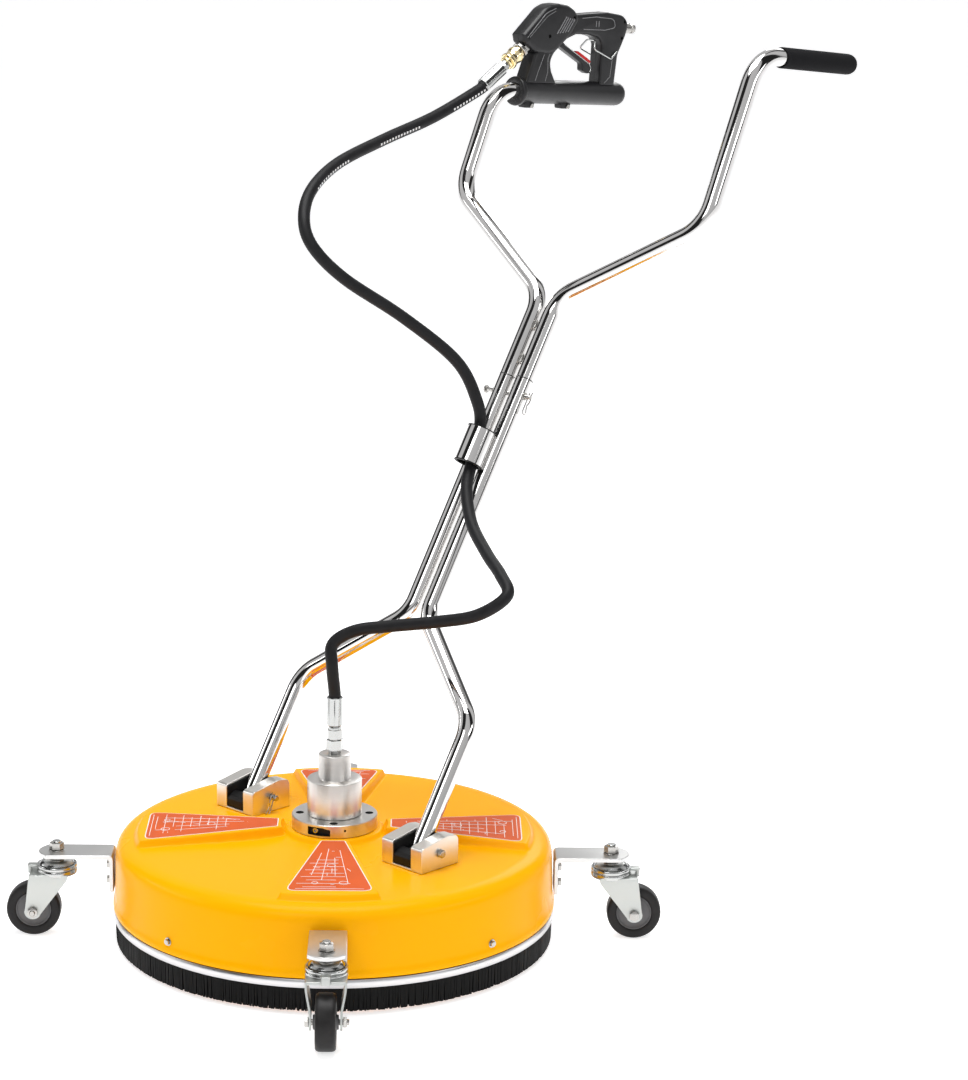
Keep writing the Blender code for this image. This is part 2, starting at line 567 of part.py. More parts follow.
for tag, sign in (("right", 1), ("left", -1)):
    low, high = sorted((sign * 0.00015, sign * ARCH_HALF))
    flip = -1 if GUN.col[2][0] < 0 else 1
    low, high = sorted((flip * low, flip * high))
    shell = prism("gun_shell_" + tag, ARCH, low, high, GUN, PLASTIC, PIVOT)
    low, high = sorted((flip * sign * 0.00015, flip * sign * HEAD_HALF))
    combine(shell, prism("head_" + tag, HEAD, low, high, GUN, PLASTIC), "UNION")
    combine(shell, valve_rod("valve_pocket_" + tag, 0.0004), "DIFFERENCE")
    combine(shell, drill("coupler_seat_" + tag, outlet(0.0100), away, 0.0101, 0.0190), "DIFFERENCE")
    combine(shell, prism("slot_" + tag, SLOT, -SLOT_HALF, SLOT_HALF, GUN, PLASTIC), "DIFFERENCE")
    combine(shell, drill("sleeve_seat_" + tag, in_gun(0.10, 0), BACK, SLEEVE_R + GAP, 0.24, 20), "DIFFERENCE")
    combine(shell, drill("trigger_bore_" + tag, in_gun(*TRIGGER_PIVOT), (1, 0, 0), 0.0033, 0.0256, 12),
            "DIFFERENCE")
    combine(shell, drill("bail_bore_" + tag, in_gun(0.2000, 0.0655, sign * ARCH_HALF), (1, 0, 0), 0.0017,
                         0.0080, 8), "DIFFERENCE")

trigger_at = in_gun(*TRIGGER_PIVOT)
lever = GUN @ Matrix.Translation((TRIGGER_PIVOT[0], TRIGGER_PIVOT[1], 0)) @ Matrix.Rotation(TRIGGER_SLANT, 4, "Z")
LEVER = [(-0.008, 0.0055), (0.010, 0.0060), (0.024, 0.0035), (0.088, 0.0030), (0.096, 0.0000),
         (0.096, -0.0105), (0.078, -0.0125), (0.073, -0.0040), (0.020, -0.0040), (-0.004, -0.0070)]
trigger = prism("trigger", LEVER, -0.006, 0.006, lever, PLASTIC, trigger_at)
combine(trigger, drill("trigger_axle", trigger_at, (1, 0, 0), 0.0030, 0.0250, 12), "UNION")
latch_at = lever @ Vector((0.054, 0.0055, 0))
prism("trigger_latch", [(0.052, 0.0040), (0.087, 0.0035), (0.090, 0.0070), (0.086, 0.0085), (0.056, 0.0085),
                        (0.052, 0.0070)], -0.005, 0.005, lever, RED, latch_at)

WIRE_R, WIRE_X = 0.0013, 0.0155
bail_at = in_gun(0.2000, 0.0655)
half_bail = [in_gun(0.2000, 0.0655, ARCH_HALF - 0.003), in_gun(0.2000, 0.0655, WIRE_X),
             in_gun(0.1870, 0.0530, WIRE_X), in_gun(0.1480, 0.0665, WIRE_X), in_gun(0.1560, 0.0800, 0.0080)]
mirror = [in_gun(0.1560, 0.0800, -0.0080), in_gun(0.1480, 0.0665, -WIRE_X), in_gun(0.1870, 0.0530, -WIRE_X),
          in_gun(0.2000, 0.0655, -WIRE_X), in_gun(0.2000, 0.0655, -ARCH_HALF + 0.003)]
rod("trigger_bail", filleted(half_bail + mirror, [0.002, 0.004, 0.004, 0.004, 0.004, 0.004, 0.004, 0.002], 2),
    WIRE_R, STEEL, 8, bail_at)

# ---------------------------------------------------------------- quick coupler and hose ends
line = bar_frame(outlet(0), away)
lathe("coupler_body", [(0.0064, 0.0020), (0.0095, 0.0020), (0.0095, 0.0120), (0.0125, 0.0125), (0.0125, 0.0178),
                       (0.0098, 0.0182), (0.0098, 0.0500), (0.0067, 0.0500), (0.0067, 0.0300), (0.0035, 0.0300),
                       (0.0035, 0.0110), (0.0064, 0.0110)], BRASS, 12, line, PIVOT)
lathe("coupler_sleeve", [(0.0101, 0.0240), (0.0128, 0.0240), (0.0128, 0.0300), (0.0120, 0.0310),
                         (0.0120, 0.0390), (0.0128, 0.0400), (0.0128, 0.0450), (0.0101, 0.0450)],
      BRASS, 12, line, outlet(0.0345))
lathe("hose_end_gun", [(0.0030, 0.0320), (0.0064, 0.0320), (0.0064, 0.0520), (0.0085, 0.0530), (0.0085, 0.0610),
                       (0.0105, 0.0620), (0.0105, 0.1060), (0.0093, 0.1060), (0.0093, 0.0700), (0.0030, 0.0700)],
      STEEL, 12, line, PIVOT)
lathe("hose_end_hub", [(0.0030, 0.2420), (0.0064, 0.2420), (0.0064, NECK_TOP + GAP), (0.0090, NECK_TOP + GAP),
                       (0.0090, 0.2685), (0.0120, 0.2690), (0.0120, 0.2840), (0.0110, 0.2850), (0.0110, 0.2980),
                       (0.0092, 0.2990), (0.0092, 0.3025), (0.0112, 0.3035), (0.0112, 0.3440), (0.0093, 0.3440),
                       (0.0093, 0.3120), (0.0030, 0.3120)], STEEL, 12)


# ---------------------------------------------------------------- hose
def curve_through(points, steps):
    """Catmull-Rom points through the given ones."""
    points = [Vector(p) for p in points]
    ends = [points[0] * 2 - points[1]] + points + [points[-1] * 2 - points[-2]]
    path = []
    for p0, p1, p2, p3 in zip(ends, ends[1:], ends[2:], ends[3:]):
        for k in range(steps):
            t = k / steps
            path.append(0.5 * (2 * p1 + (p2 - p0) * t + (2 * p0 - 5 * p1 + 4 * p2 - p3) * t * t
                               + (3 * p1 - p0 - 3 * p2 + p3) * t ** 3))
    return path + [points[-1]]


guide_low, guide_high = on_handle(0, GUIDE_V - 0.028, GUIDE_OFF), on_handle(0, GUIDE_V + 0.028, GUIDE_OFF)
hose_points = [
    (0, 0, 0.3125), (0, 0, 0.346), (0.000, 0.005, 0.388), (0.002, 0.000, 0.418), (-0.018, -0.020, 0.437),
    (-0.060, -0.046, 0.447), (-0.122, -0.075, 0.460), (-0.176, -0.098, 0.478), (-0.197, -0.122, 0.502),
    (-0.180, -0.143, 0.524), (-0.138, -0.165, 0.546), (-0.076, -0.194, 0.571), (-0.024, -0.222, 0.600),
    guide_low, guide_high,
    (0.006, -0.277, 0.719), (0.028, -0.247, 0.768), (0.066, -0.184, 0.828), (0.110, -0.114, 0.884),
    (0.142, -0.080, 0.930), (0.166, -0.083, 0.972), (0.187, -0.125, 1.010), (0.205, -0.197, 1.037),
    (0.220, -0.305, 1.058), (0.230, -0.415, 1.080), outlet(0.118), outlet(0.1045), outlet(0.0705),
]
rod("hose", curve_through(hose_points, 2), HOSE_R, RUBBER, 8)
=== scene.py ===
"""Looks of the surface cleaner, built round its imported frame. Metres, +Z up, +Y forward, +X to the right.

Positions are written from the deck's axis and moved DECK_Y forward when a mesh is made.
"""
import json
import random
from math import cos, pi, radians, sin, sqrt, tan

import bmesh
import bpy
from mathutils import Matrix, Vector

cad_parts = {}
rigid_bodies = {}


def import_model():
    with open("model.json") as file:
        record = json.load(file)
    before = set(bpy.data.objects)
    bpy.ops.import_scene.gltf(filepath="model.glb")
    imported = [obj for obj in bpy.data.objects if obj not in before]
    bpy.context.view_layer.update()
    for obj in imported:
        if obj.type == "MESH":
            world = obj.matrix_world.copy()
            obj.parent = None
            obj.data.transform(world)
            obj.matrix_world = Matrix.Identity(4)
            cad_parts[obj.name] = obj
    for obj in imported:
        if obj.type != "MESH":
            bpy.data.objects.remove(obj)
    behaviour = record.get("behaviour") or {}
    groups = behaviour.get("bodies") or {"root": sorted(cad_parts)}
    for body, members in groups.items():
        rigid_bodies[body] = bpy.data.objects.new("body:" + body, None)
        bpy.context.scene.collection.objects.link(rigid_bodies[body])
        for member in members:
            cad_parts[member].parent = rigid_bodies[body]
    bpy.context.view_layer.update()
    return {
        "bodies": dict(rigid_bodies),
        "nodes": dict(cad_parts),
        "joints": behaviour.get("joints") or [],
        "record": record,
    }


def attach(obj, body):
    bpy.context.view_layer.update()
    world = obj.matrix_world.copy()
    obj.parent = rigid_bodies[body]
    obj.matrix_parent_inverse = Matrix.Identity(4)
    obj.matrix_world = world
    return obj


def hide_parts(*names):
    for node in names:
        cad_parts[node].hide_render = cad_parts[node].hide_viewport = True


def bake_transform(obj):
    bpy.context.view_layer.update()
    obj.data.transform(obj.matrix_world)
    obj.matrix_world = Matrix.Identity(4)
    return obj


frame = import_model()
random.seed(7)
scene = bpy.context.scene

# ---------------------------------------------------------------- shared sizes
DECK_Y = 0.26
AHEAD = Vector((0, DECK_Y, 0))
LEAN, UPPER_LEAN, DROOP = radians(31.6), radians(24.6), radians(5.0)
PIVOT_X, PIVOT_Z = 0.167, 0.1694
TUBE_R, TUBE_BORE = 0.0125, 0.0108
PAIR_X, GRIP_X = 0.016, 0.2335
V_BEND1, V_BEND2, V_JOINT, V_BEND4, V_BEND5 = 0.18, 0.306, 0.6715, 0.799, 0.9315
SPLAY_OFF = 0.0125
UPRIGHT_GUN, UPRIGHT_FOAM = 0.159, 0.2515
GUIDE_V, GUIDE_OFF, GUIDE_X = 0.553, 0.0285, -0.004
HOSE_R = 0.0085
STEM_R, TRAIL, WHEEL_R, PLATE_Z = 0.3832, 0.0326, 0.0375, 0.1207
CORNERS = (("fl", 135), ("fr", 45), ("rr", -45), ("rl", -135))
UP = Vector((0, -sin(LEAN), cos(LEAN)))
FRONT = Vector((0, cos(LEAN), sin(LEAN)))
PIVOT = Vector((0, 0, PIVOT_Z))
BACK = Vector((0, -cos(DROOP), -sin(DROOP)))
GRIP_UP = Vector((0, -sin(DROOP), cos(DROOP)))
IDENTITY = Matrix.Identity(4)
# SIDE_ON takes an outline in (x, z) and a depth along -Y. ACROSS takes one in (y, z) and a depth along X.
SIDE_ON = Matrix(((1, 0, 0, 0), (0, 0, -1, 0), (0, 1, 0, 0), (0, 0, 0, 1)))
ACROSS = Matrix(((0, 0, 1, 0), (1, 0, 0, 0), (0, 1, 0, 0), (0, 0, 0, 1)))


def on_handle(x, v, off=0.0):
    """A point x to the right, v up the handle's lean from its pivot and off in front of it."""
    return PIVOT + Vector((x, 0, 0)) + UP * v + FRONT * off


def elbow(sign, upright):
    """Where a side's tube bends back into its grip, a length above its outer bend."""
    foot = on_handle(sign * GRIP_X, V_BEND5, SPLAY_OFF)
    return foot + Vector((0, -sin(UPPER_LEAN), cos(UPPER_LEAN))) * upright


MOUTH = elbow(1, UPRIGHT_GUN) + BACK * 0.048
OUTLET = Vector((0.0128, 0.0685))
OUTLET_DIR = Vector((-0.809, -0.588))
AWAY = BACK * OUTLET_DIR.x + GRIP_UP * OUTLET_DIR.y


def in_gun(b, h, x=0.0):
    """A point b back along the grip from its mouth, h above it and x to the right."""
    return MOUTH + BACK * b + GRIP_UP * h + Vector((x, 0, 0))


def outlet(t):
    """A point out along the line of the gun's hose outlet."""
    p = OUTLET + OUTLET_DIR * t
    return in_gun(p.x, p.y)


# ---------------------------------------------------------------- camera
CAMERA_AT = Vector((-3.148, 2.991 + DECK_Y, 1.6334))
LOOK_AZIMUTH, LOOK_DOWN, ROLL = radians(313.81), radians(13.81), radians(0.75)
look = Vector((cos(LOOK_AZIMUTH) * cos(LOOK_DOWN), sin(LOOK_AZIMUTH) * cos(LOOK_DOWN), -sin(LOOK_DOWN)))
right = Vector((sin(LOOK_AZIMUTH), -cos(LOOK_AZIMUTH), 0))
above = right.cross(look)
right, above = right * cos(ROLL) + above * sin(ROLL), above * cos(ROLL) - right * sin(ROLL)
camera = bpy.data.objects.new("camera", bpy.data.cameras.new("camera"))
camera.matrix_world = Matrix.Translation(CAMERA_AT) @ Matrix((right, above, -look)).transposed().to_4x4()
camera.data.lens = 110.2
camera.data.sensor_width = 36.0
camera.data.clip_end = 60.0
scene.collection.objects.link(camera)
scene.camera = camera


# ---------------------------------------------------------------- materials
def add_node(tree, kind, **values):
    """A shader node with some of its inputs set; an underscore stands for a space in an input's name."""
    node = tree.nodes.new("ShaderNode" + kind)
    for name, value in values.items():
        node.inputs[name.replace("_", " ")].default_value = value
    return node


def surface(name, colour, metallic=0.0, rough=0.4, vary=0.06, scale=60.0, stretch=(1, 1, 1), rough_vary=0.1,
            bump=0.0, grain=900.0, grain_stretch=(1, 1, 1), shine=0.5):
    """A Principled material with drifting colour and roughness and a fine bump, in object space."""
    m = bpy.data.materials.new(name)
    m.use_nodes = True
    tree, link = m.node_tree, m.node_tree.links.new
    shader = tree.nodes["Principled BSDF"].inputs
    shader["Metallic"].default_value = metallic
    shader["Specular IOR Level"].default_value = shine
    place = add_node(tree, "TexCoord").outputs["Object"]
    stretchy = add_node(tree, "Mapping", Scale=stretch)
    link(place, stretchy.inputs["Vector"])
    drift = add_node(tree, "TexNoise", Scale=scale, Detail=4.0)
    link(stretchy.outputs["Vector"], drift.inputs["Vector"])
    ramp = add_node(tree, "ValToRGB")
    low, high = ramp.color_ramp.elements
    low.position, high.position = 0.3, 0.7
    low.color = [max(0.0, c * (1 - vary)) for c in colour] + [1]
    high.color = [min(1.0, c * (1 + vary)) for c in colour] + [1]
    link(drift.outputs["Fac"], ramp.inputs["Fac"])
    link(ramp.outputs["Color"], shader["Base Color"])
    spread = add_node(tree, "MapRange", From_Min=0.3, From_Max=0.7, To_Min=rough * (1 - rough_vary),
                      To_Max=rough * (1 + rough_vary))
    link(drift.outputs["Fac"], spread.inputs["Value"])
    link(spread.outputs["Result"], shader["Roughness"])
    if bump:
        fine_place = add_node(tree, "Mapping", Scale=grain_stretch)
        link(place, fine_place.inputs["Vector"])
        fine = add_node(tree, "TexNoise", Scale=grain, Detail=3.0)
        link(fine_place.outputs["Vector"], fine.inputs["Vector"])
        relief = add_node(tree, "Bump", Strength=bump, Distance=0.0005)
        link(fine.outputs["Fac"], relief.inputs["Height"])
        link(relief.outputs["Normal"], shader["Normal"])
    return m


YELLOW = surface("yellow_shell", (0.98, 0.435, 0.001), rough=0.26, vary=0.015, scale=6, bump=0.006, grain=350,
                 shine=0.05)
ORANGE = surface("label_orange", (0.648, 0.107, 0.023), rough=0.38, vary=0.06, scale=30, shine=0.08)
WHITE = surface("label_white", (0.86, 0.82, 0.8), rough=0.4, vary=0.02)
STEEL = surface("brushed_stainless", (0.66, 0.66, 0.65), 1.0, 0.36, 0.03, 12, (1, 1, 20), 0.1, 0.02, 900,
                (1, 1, 9))
ZINC = surface("zinc_plate", (0.51, 0.518, 0.51), 1.0, 0.2, 0.03, 20, rough_vary=0.12, bump=0.004, grain=900)
DULL = surface("dull_zinc", (0.476, 0.493, 0.476), 1.0, 0.4, 0.03, 25, rough_vary=0.12, bump=0.006, grain=900)
BOLT = surface("bolt_steel", (0.45, 0.44, 0.42), 1.0, 0.24, 0.05, 90, rough_vary=0.15, bump=0.005, grain=1500)
POLISH = surface("polished_tube", (0.74, 0.73, 0.72), 1.0, 0.065, 0.02, 15, rough_vary=0.15, bump=0.002,
                 grain=900)
SATIN = surface("satin_aluminium", (0.72, 0.7, 0.67), 1.0, 0.33, 0.02, 20, (1, 1, 25), 0.1, 0.015, 300,
                (1, 1, 30))
MILLED = surface("milled_aluminium", (0.76, 0.74, 0.7), 1.0, 0.34, 0.02, 25, (8, 1, 1), 0.1, 0.012, 600,
                 (1, 9, 1))
BAND = surface("band_metal", (0.62, 0.62, 0.63), 1.0, 0.3, 0.02, 12, (1, 1, 20), 0.1, 0.008, 400, (1, 1, 9))
BRASS = surface("turned_brass", (0.93, 0.78, 0.47), 1.0, 0.2, 0.03, 60, rough_vary=0.15, bump=0.004,
                grain=1500)
BLACK = surface("black_moulding", (0.008, 0.008, 0.009), 0.0, 0.34, 0.25, 50, rough_vary=0.15, bump=0.1,
                grain=1100, shine=0.36)
RUBBER = surface("black_rubber", (0.007, 0.007, 0.007), 0.0, 0.5, 0.2, 40, bump=0.12, grain=700, shine=0.2)
TYRE = surface("tyre_rubber", (0.012, 0.011, 0.011), 0.0, 0.46, 0.3, 60, bump=0.12, grain=600, shine=0.25)
CORE = surface("wheel_core", (0.125, 0.123, 0.125), 0.0, 0.45, 0.1, 80, bump=0.08, grain=500, shine=0.3)
FOAM = surface("foam", (0.008, 0.008, 0.009), 0.0, 0.85, 0.35, 500, bump=0.6, grain=900, shine=0.15)
# Light grey for the gun's raised ribs, groove, seams and crown lines: painted highlight along the mould lines
# of the black shell.
RIB_HIGHLIGHT = surface("painted_highlight_line", (0.15, 0.15, 0.155), 0.0, 0.34, 0.1, 100, bump=0.05, grain=900)
RED = surface("red_moulding", (0.5, 0.012, 0.012), 0.0, 0.33, 0.08, 100, bump=0.05, grain=900, shine=0.3)
BRISTLE = surface("bristle", (0.005, 0.005, 0.005), 0.0, 0.6, 0.4, 90, (1, 1, 0.1), 0.2, shine=0.12)
OXIDE = surface("black_oxide", (0.05, 0.05, 0.05), 1.0, 0.35, 0.2, 200, bump=0.01)
# Near-black for the walls of cut holes, slots and recesses and for the sleeve's notch marks: painted shade
# inside them.
RECESS_SHADE = surface("painted_recess_shade", (0.01, 0.01, 0.01), 0.0, 0.6)


# ---------------------------------------------------------------- shapes, as (verts, faces)
def lathe(profile, frame=IDENTITY, segments=64):
    """A closed profile of (radius, height) turned round the frame's Z axis."""
    rings, verts, faces = [], [], []
    for r, z in profile:
        count = 1 if r < 1e-9 else segments
        rings.append(list(range(len(verts), len(verts) + count)))
        for k in range(count):
            a = 2 * pi * k / segments
            verts.append(frame @ Vector((r * cos(a), r * sin(a), z)))
    for lower, upper in zip(rings, rings[1:] + rings[:1]):
        if len(lower) == 1 and len(upper) == 1:
            continue
        for k in range(segments):
            n = (k + 1) % segments
            if len(lower) == 1:
                faces.append((lower[0], upper[n], upper[k]))
            elif len(upper) == 1:
                faces.append((lower[k], lower[n], upper[0]))
            else:
                faces.append((lower[k], lower[n], upper[n], upper[k]))
    return verts, faces


def drum(radius, low, high, frame=IDENTITY, segments=24):
    """A plain cylinder between two heights."""
    return lathe([(0, low), (radius, low), (radius, high), (0, high)], frame, segments)


def stacked(rings):
    """A solid whose skin joins equal rings in order, with a flat cap on each end."""
    n = len(rings[0])
    verts = [v for ring in rings for v in ring]
    faces = [tuple(range(n)), tuple(range(len(verts) - n, len(verts)))]
    for a in range(0, len(verts) - n, n):
        for j in range(n):
            m = (j + 1) % n
            faces.append((a + j, a + m, a + n + m, a + n + j))
    return verts, faces


def looped(rings):
    """A solid whose skin joins equal rings in order, and the last ring to the first."""
    n = len(rings[0])
    verts = [v for ring in rings for v in ring]
    faces = []
    for k in range(len(rings)):
        a, b = k * n, (k + 1) % len(rings) * n
        for j in range(n):
            m = (j + 1) % n
            faces.append((a + j, a + m, b + m, b + j))
    return verts, faces


def mm(*points):
    """Points written in millimetres, in metres."""
    return [tuple(round(v / 1000, 7) for v in point) for point in points]


def oblong(start, end, half):
    """Corners of a rectangle between two values of X and as far each side of Y = 0, in millimetres."""
    return mm((start, -half), (end, -half), (end, half), (start, half))


def laid(outline, z, frame=IDENTITY):
    """The outline's points at one height in a frame."""
    return [frame @ Vector((x, y, z)) for x, y in outline]


def prism(outline, low, high, frame=IDENTITY):
    return stacked([laid(outline, z, frame) for z in (low, high)])


def box(low, high, frame=IDENTITY):
    (x0, y0, z0), (x1, y1, z1) = low, high
    return prism([(x0, y0), (x1, y0), (x1, y1), (x0, y1)], z0, z1, frame)


def hexagon(width):
    """Six corners of a hexagon of that width across its flats."""
    r = width / 2 / cos(pi / 6)
    return [(r * cos(pi / 3 * k), r * sin(pi / 3 * k)) for k in range(6)]


def hex_bar(width, low, high, frame=IDENTITY, chamfer=0.0008):
    full, small = hexagon(width), hexagon(width - 2 * chamfer)
    levels = ((small, low), (full, low + chamfer / 2), (full, high - chamfer / 2), (small, high))
    return stacked([laid(ring, z, frame) for ring, z in levels])


def rounded(outline, radius, steps=4):
    """An outline with each corner cut to an arc, no larger than its edges allow."""
    out = []
    n = len(outline)
    for k in range(n):
        p = Vector(outline[k])
        before, after = Vector(outline[k - 1]) - p, Vector(outline[(k + 1) % n]) - p
        turn = pi - before.angle(after)
        r = radius[k] if isinstance(radius, (list, tuple)) else radius
        if r <= 0 or turn < 0.02:
            out.append(tuple(p))
            continue
        reach = min(r * tan(turn / 2), 0.48 * min(before.length, after.length))
        a, b = p + before.normalized() * reach, p + after.normalized() * reach
        for j in range(steps + 1):
            t = j / steps
            out.append(tuple(a * (1 - t) ** 2 + p * 2 * t * (1 - t) + b * t * t))
    return out


def inset(outline, distance):
    """The outline moved inwards; it must run anticlockwise."""
    out = []
    n = len(outline)
    for k in range(n):
        p, before, after = Vector(outline[k]), Vector(outline[k - 1]), Vector(outline[(k + 1) % n])
        along = (p - before).normalized() + (after - p).normalized()
        if along.length < 1e-6:
            along = after - p
        along.normalize()
        normal = Vector((-along.y, along.x))
        lean = max(0.6, (p - before).normalized().dot(along))
        out.append(tuple(p + normal * distance / lean))
    return out


def anticlockwise(outline):
    area = sum(a[0] * b[1] - b[0] * a[1] for a, b in zip(outline, outline[1:] + outline[:1]))
    return outline if area > 0 else outline[::-1]


def pillow(outline, low, high, edge, frame=IDENTITY, steps=4, both=False):
    """A slab whose far face, or both faces, meet its sides in a rounded edge."""
    outline = anticlockwise(outline)
    far = [(edge * (1 - cos(pi / 2 * k / steps)), high - edge + edge * sin(pi / 2 * k / steps))
           for k in range(steps + 1)]
    near = [(d, low + high - z) for d, z in far[::-1]] if both else [(0.0, low)]
    return stacked([laid(inset(outline, d), z, frame) for d, z in near + far])


def filleted(points, radii, steps=10):
    """A path through the points, with an arc of its own radius at each inner one."""
    points = [Vector(p) for p in points]
    path = [points[0]]
    for before, corner, after, radius in zip(points, points[1:], points[2:], radii):
        a, b = (before - corner).normalized(), (after - corner).normalized()
        turn = pi - a.angle(b)
        reach = radius * tan(turn / 2)
        middle = corner + (a + b).normalized() * radius / cos(turn / 2)
        start, end = corner + a * reach - middle, corner + b * reach - middle
        spin = start.cross(end).normalized()
        for k in range(steps + 1):
            path.append(middle + Matrix.Rotation(turn * k / steps, 3, spin) @ start)
    return path + [points[-1]]


def rings_along(path, radii, segments):
    """Circles across a path, turned as little as can be from one to the next."""
    rings, normal = [], None
    for k, point in enumerate(path):
        along = (path[min(k + 1, len(path) - 1)] - path[max(k - 1, 0)]).normalized()
        if normal is None:
            normal = along.orthogonal().normalized()
        normal = (normal - along * normal.dot(along)).normalized()
        across = along.cross(normal)
        turns = [2 * pi * j / segments for j in range(segments)]
        rings.append([point + (normal * cos(a) + across * sin(a)) * radii[k] for a in turns])
    return rings


def rod(path, radius, segments=20):
    path = [Vector(p) for p in path]
    radii = radius if isinstance(radius, (list, tuple)) else [radius] * len(path)
    return stacked(rings_along(path, radii, segments))


def pipe(path, outer, bore):
    path = [Vector(p) for p in path]
    skin, inside = (rings_along(path, [r] * len(path), 32) for r in (outer, bore))
    return looped(skin + inside[::-1])


def facing(at, along, up=(0, 0, 1)):
    """A frame at a point with its Z along a direction and its X as near up as it can be."""
    z = Vector(along).normalized()
    if abs(z.dot(Vector(up))) > 0.999:
        up = (1, 0, 0)
    x = (Vector(up) - z * Vector(up).dot(z)).normalized()
    return Matrix.Translation(Vector(at)) @ Matrix((x, z.cross(x), z)).transposed().to_4x4()


# ---------------------------------------------------------------- pieces
def mesh_of(parts):
    """One mesh of several (shape, material) parts, and its materials in order."""
    bm, materials = bmesh.new(), []
    for (verts, faces), mat in parts:
        if mat not in materials:
            materials.append(mat)
        made = [bm.verts.new(Vector(v) + AHEAD) for v in verts]
        for face in faces:
            bm.faces.new([made[i] for i in face]).material_index = materials.index(mat)
    bmesh.ops.recalc_face_normals(bm, faces=bm.faces)
    mesh = bpy.data.meshes.new("mesh")
    bm.to_mesh(mesh)
    bm.free()
    for mat in materials:
        mesh.materials.append(mat)
    return mesh


def carve(obj, parts, operation="DIFFERENCE"):
    """A Boolean with each part, applied."""
    for part in parts:
        tool = bpy.data.objects.new("tool", mesh_of([part]))
        scene.collection.objects.link(tool)
        mod = obj.modifiers.new("cut", "BOOLEAN")
        mod.operation, mod.solver, mod.object = operation, "EXACT", tool
        mod.material_mode = "TRANSFER"
        bpy.context.view_layer.update()
        result = bpy.data.meshes.new_from_object(obj.evaluated_get(bpy.context.evaluated_depsgraph_get()))
        obj.modifiers.clear()
        obj.data = result
        bpy.data.objects.remove(tool, do_unlink=True)


def shade(obj, crease):
    """Smooth shading, broken where two faces meet at more than the crease angle."""
    obj.data.shade_smooth()
    obj.data.set_sharp_from_angle(angle=radians(crease))


def piece(name, body, nodes, parts, bevel=0.0, crease=35, cuts=()):
    """An object from its parts that rides on a body and stands for CAD nodes."""
    obj = bpy.data.objects.new(name, mesh_of(parts))
    scene.collection.objects.link(obj)
    if cuts:
        carve(obj, cuts)
    shade(obj, crease)
    if bevel:
        mod = obj.modifiers.new("edges", "BEVEL")
        mod.width, mod.segments = bevel, 2
        mod.limit_method, mod.angle_limit = "ANGLE", radians(crease)
        mod.harden_normals = True
    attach(obj, body)
    if nodes:
        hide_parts(*nodes)
    return obj


def ring_profile(inner, outer, low, high, edge):
    """A ring's section with its two outer edges broken."""
    return [(inner, low), (outer - edge, low), (outer, low + edge), (outer, high - edge),
            (outer - edge, high), (inner, high)]


def disc_profile(radius, low, high, edge):
    return [(0, low), (radius - edge, low), (radius, low + edge), (radius, high - edge),
            (radius - edge, high), (0, high)]


# ---------------------------------------------------------------- deck shell
BOSS_IN_R, BOSS_OUT_R = 0.0745, 0.2695
BOSS_RAMP, INNER_RAMP, OUTER_RAMP = 0.005, 0.0055, 0.007
BOSS_TOP, BOSS_FALL = 0.1628, 0.0068 / 0.1935
BOSS_HALF, BOSS_FLARE = 0.0198, 0.232
SHELL_T, SHELL_GROW = 0.005, 0.002
SKIN = mm((18, 158.7), (63, 158.7), (65.5, 158), (67.2, 156), (69, 153.5), (71.2, 152), (74, 151.4),
          (77, 151), (78.5, 150.8), (80, 150.5), (83, 150.2), (90, 149.5), (105, 148.3), (130, 147.6),
          (160, 147.5), (190, 147.5), (220, 147.4), (245, 147.3), (260, 147.2), (268, 147.1),
          (269.8, 147), (271.4, 147), (273, 147), (274.5, 146.9), (276, 146.8), (278, 146.6),
          (280, 146.3), (282.5, 145.9), (285, 145.3), (288, 144.3), (291, 142.8), (294, 140.6),
          (296.5, 137.8), (298.5, 134.5), (299.8, 130.5), (300.6, 126), (301, 120), (301.4, 100),
          (302, 80), (302.5, 68), (303, 63.5), (304, 60.5), (304.8, 58.5), (305, 56.5), (305, 53),
          (304.5, 51.9), (303.5, 51.7))
UNDER = mm((300, 51.7), (297.5, 64), (296.2, 120), (294.5, 131), (290, 138), (284, 141.2), (277.5, 142),
           (274, 142.2), (271, 142.4), (268, 142.5), (220, 142.5), (160, 142.5), (110, 143.2),
           (86, 144.8), (82, 145.2), (78, 145.8), (70, 147.5), (64, 153), (18, 153.5))


def ease(t):
    t = max(0.0, min(1.0, t))
    return t * t * (3 - 2 * t)


def boss_plane(r):
    """Height of a boss's flat top, which falls a little towards the rim."""
    return BOSS_TOP - BOSS_FALL * (r - 0.079)


def boss_share(r, off, grow):
    """How far the deck rises to the boss: 1 on its top, 0 clear of it."""
    along, across = r * cos(radians(off)), r * abs(sin(radians(off)))
    edge = BOSS_HALF + BOSS_FLARE * (along - 0.075) - across
    side = ease((edge + BOSS_RAMP) / BOSS_RAMP)
    inner = ease((r - BOSS_IN_R + INNER_RAMP - grow) / INNER_RAMP)
    outer = ease((BOSS_OUT_R + OUTER_RAMP - grow - r) / OUTER_RAMP)
    return side * inner * outer


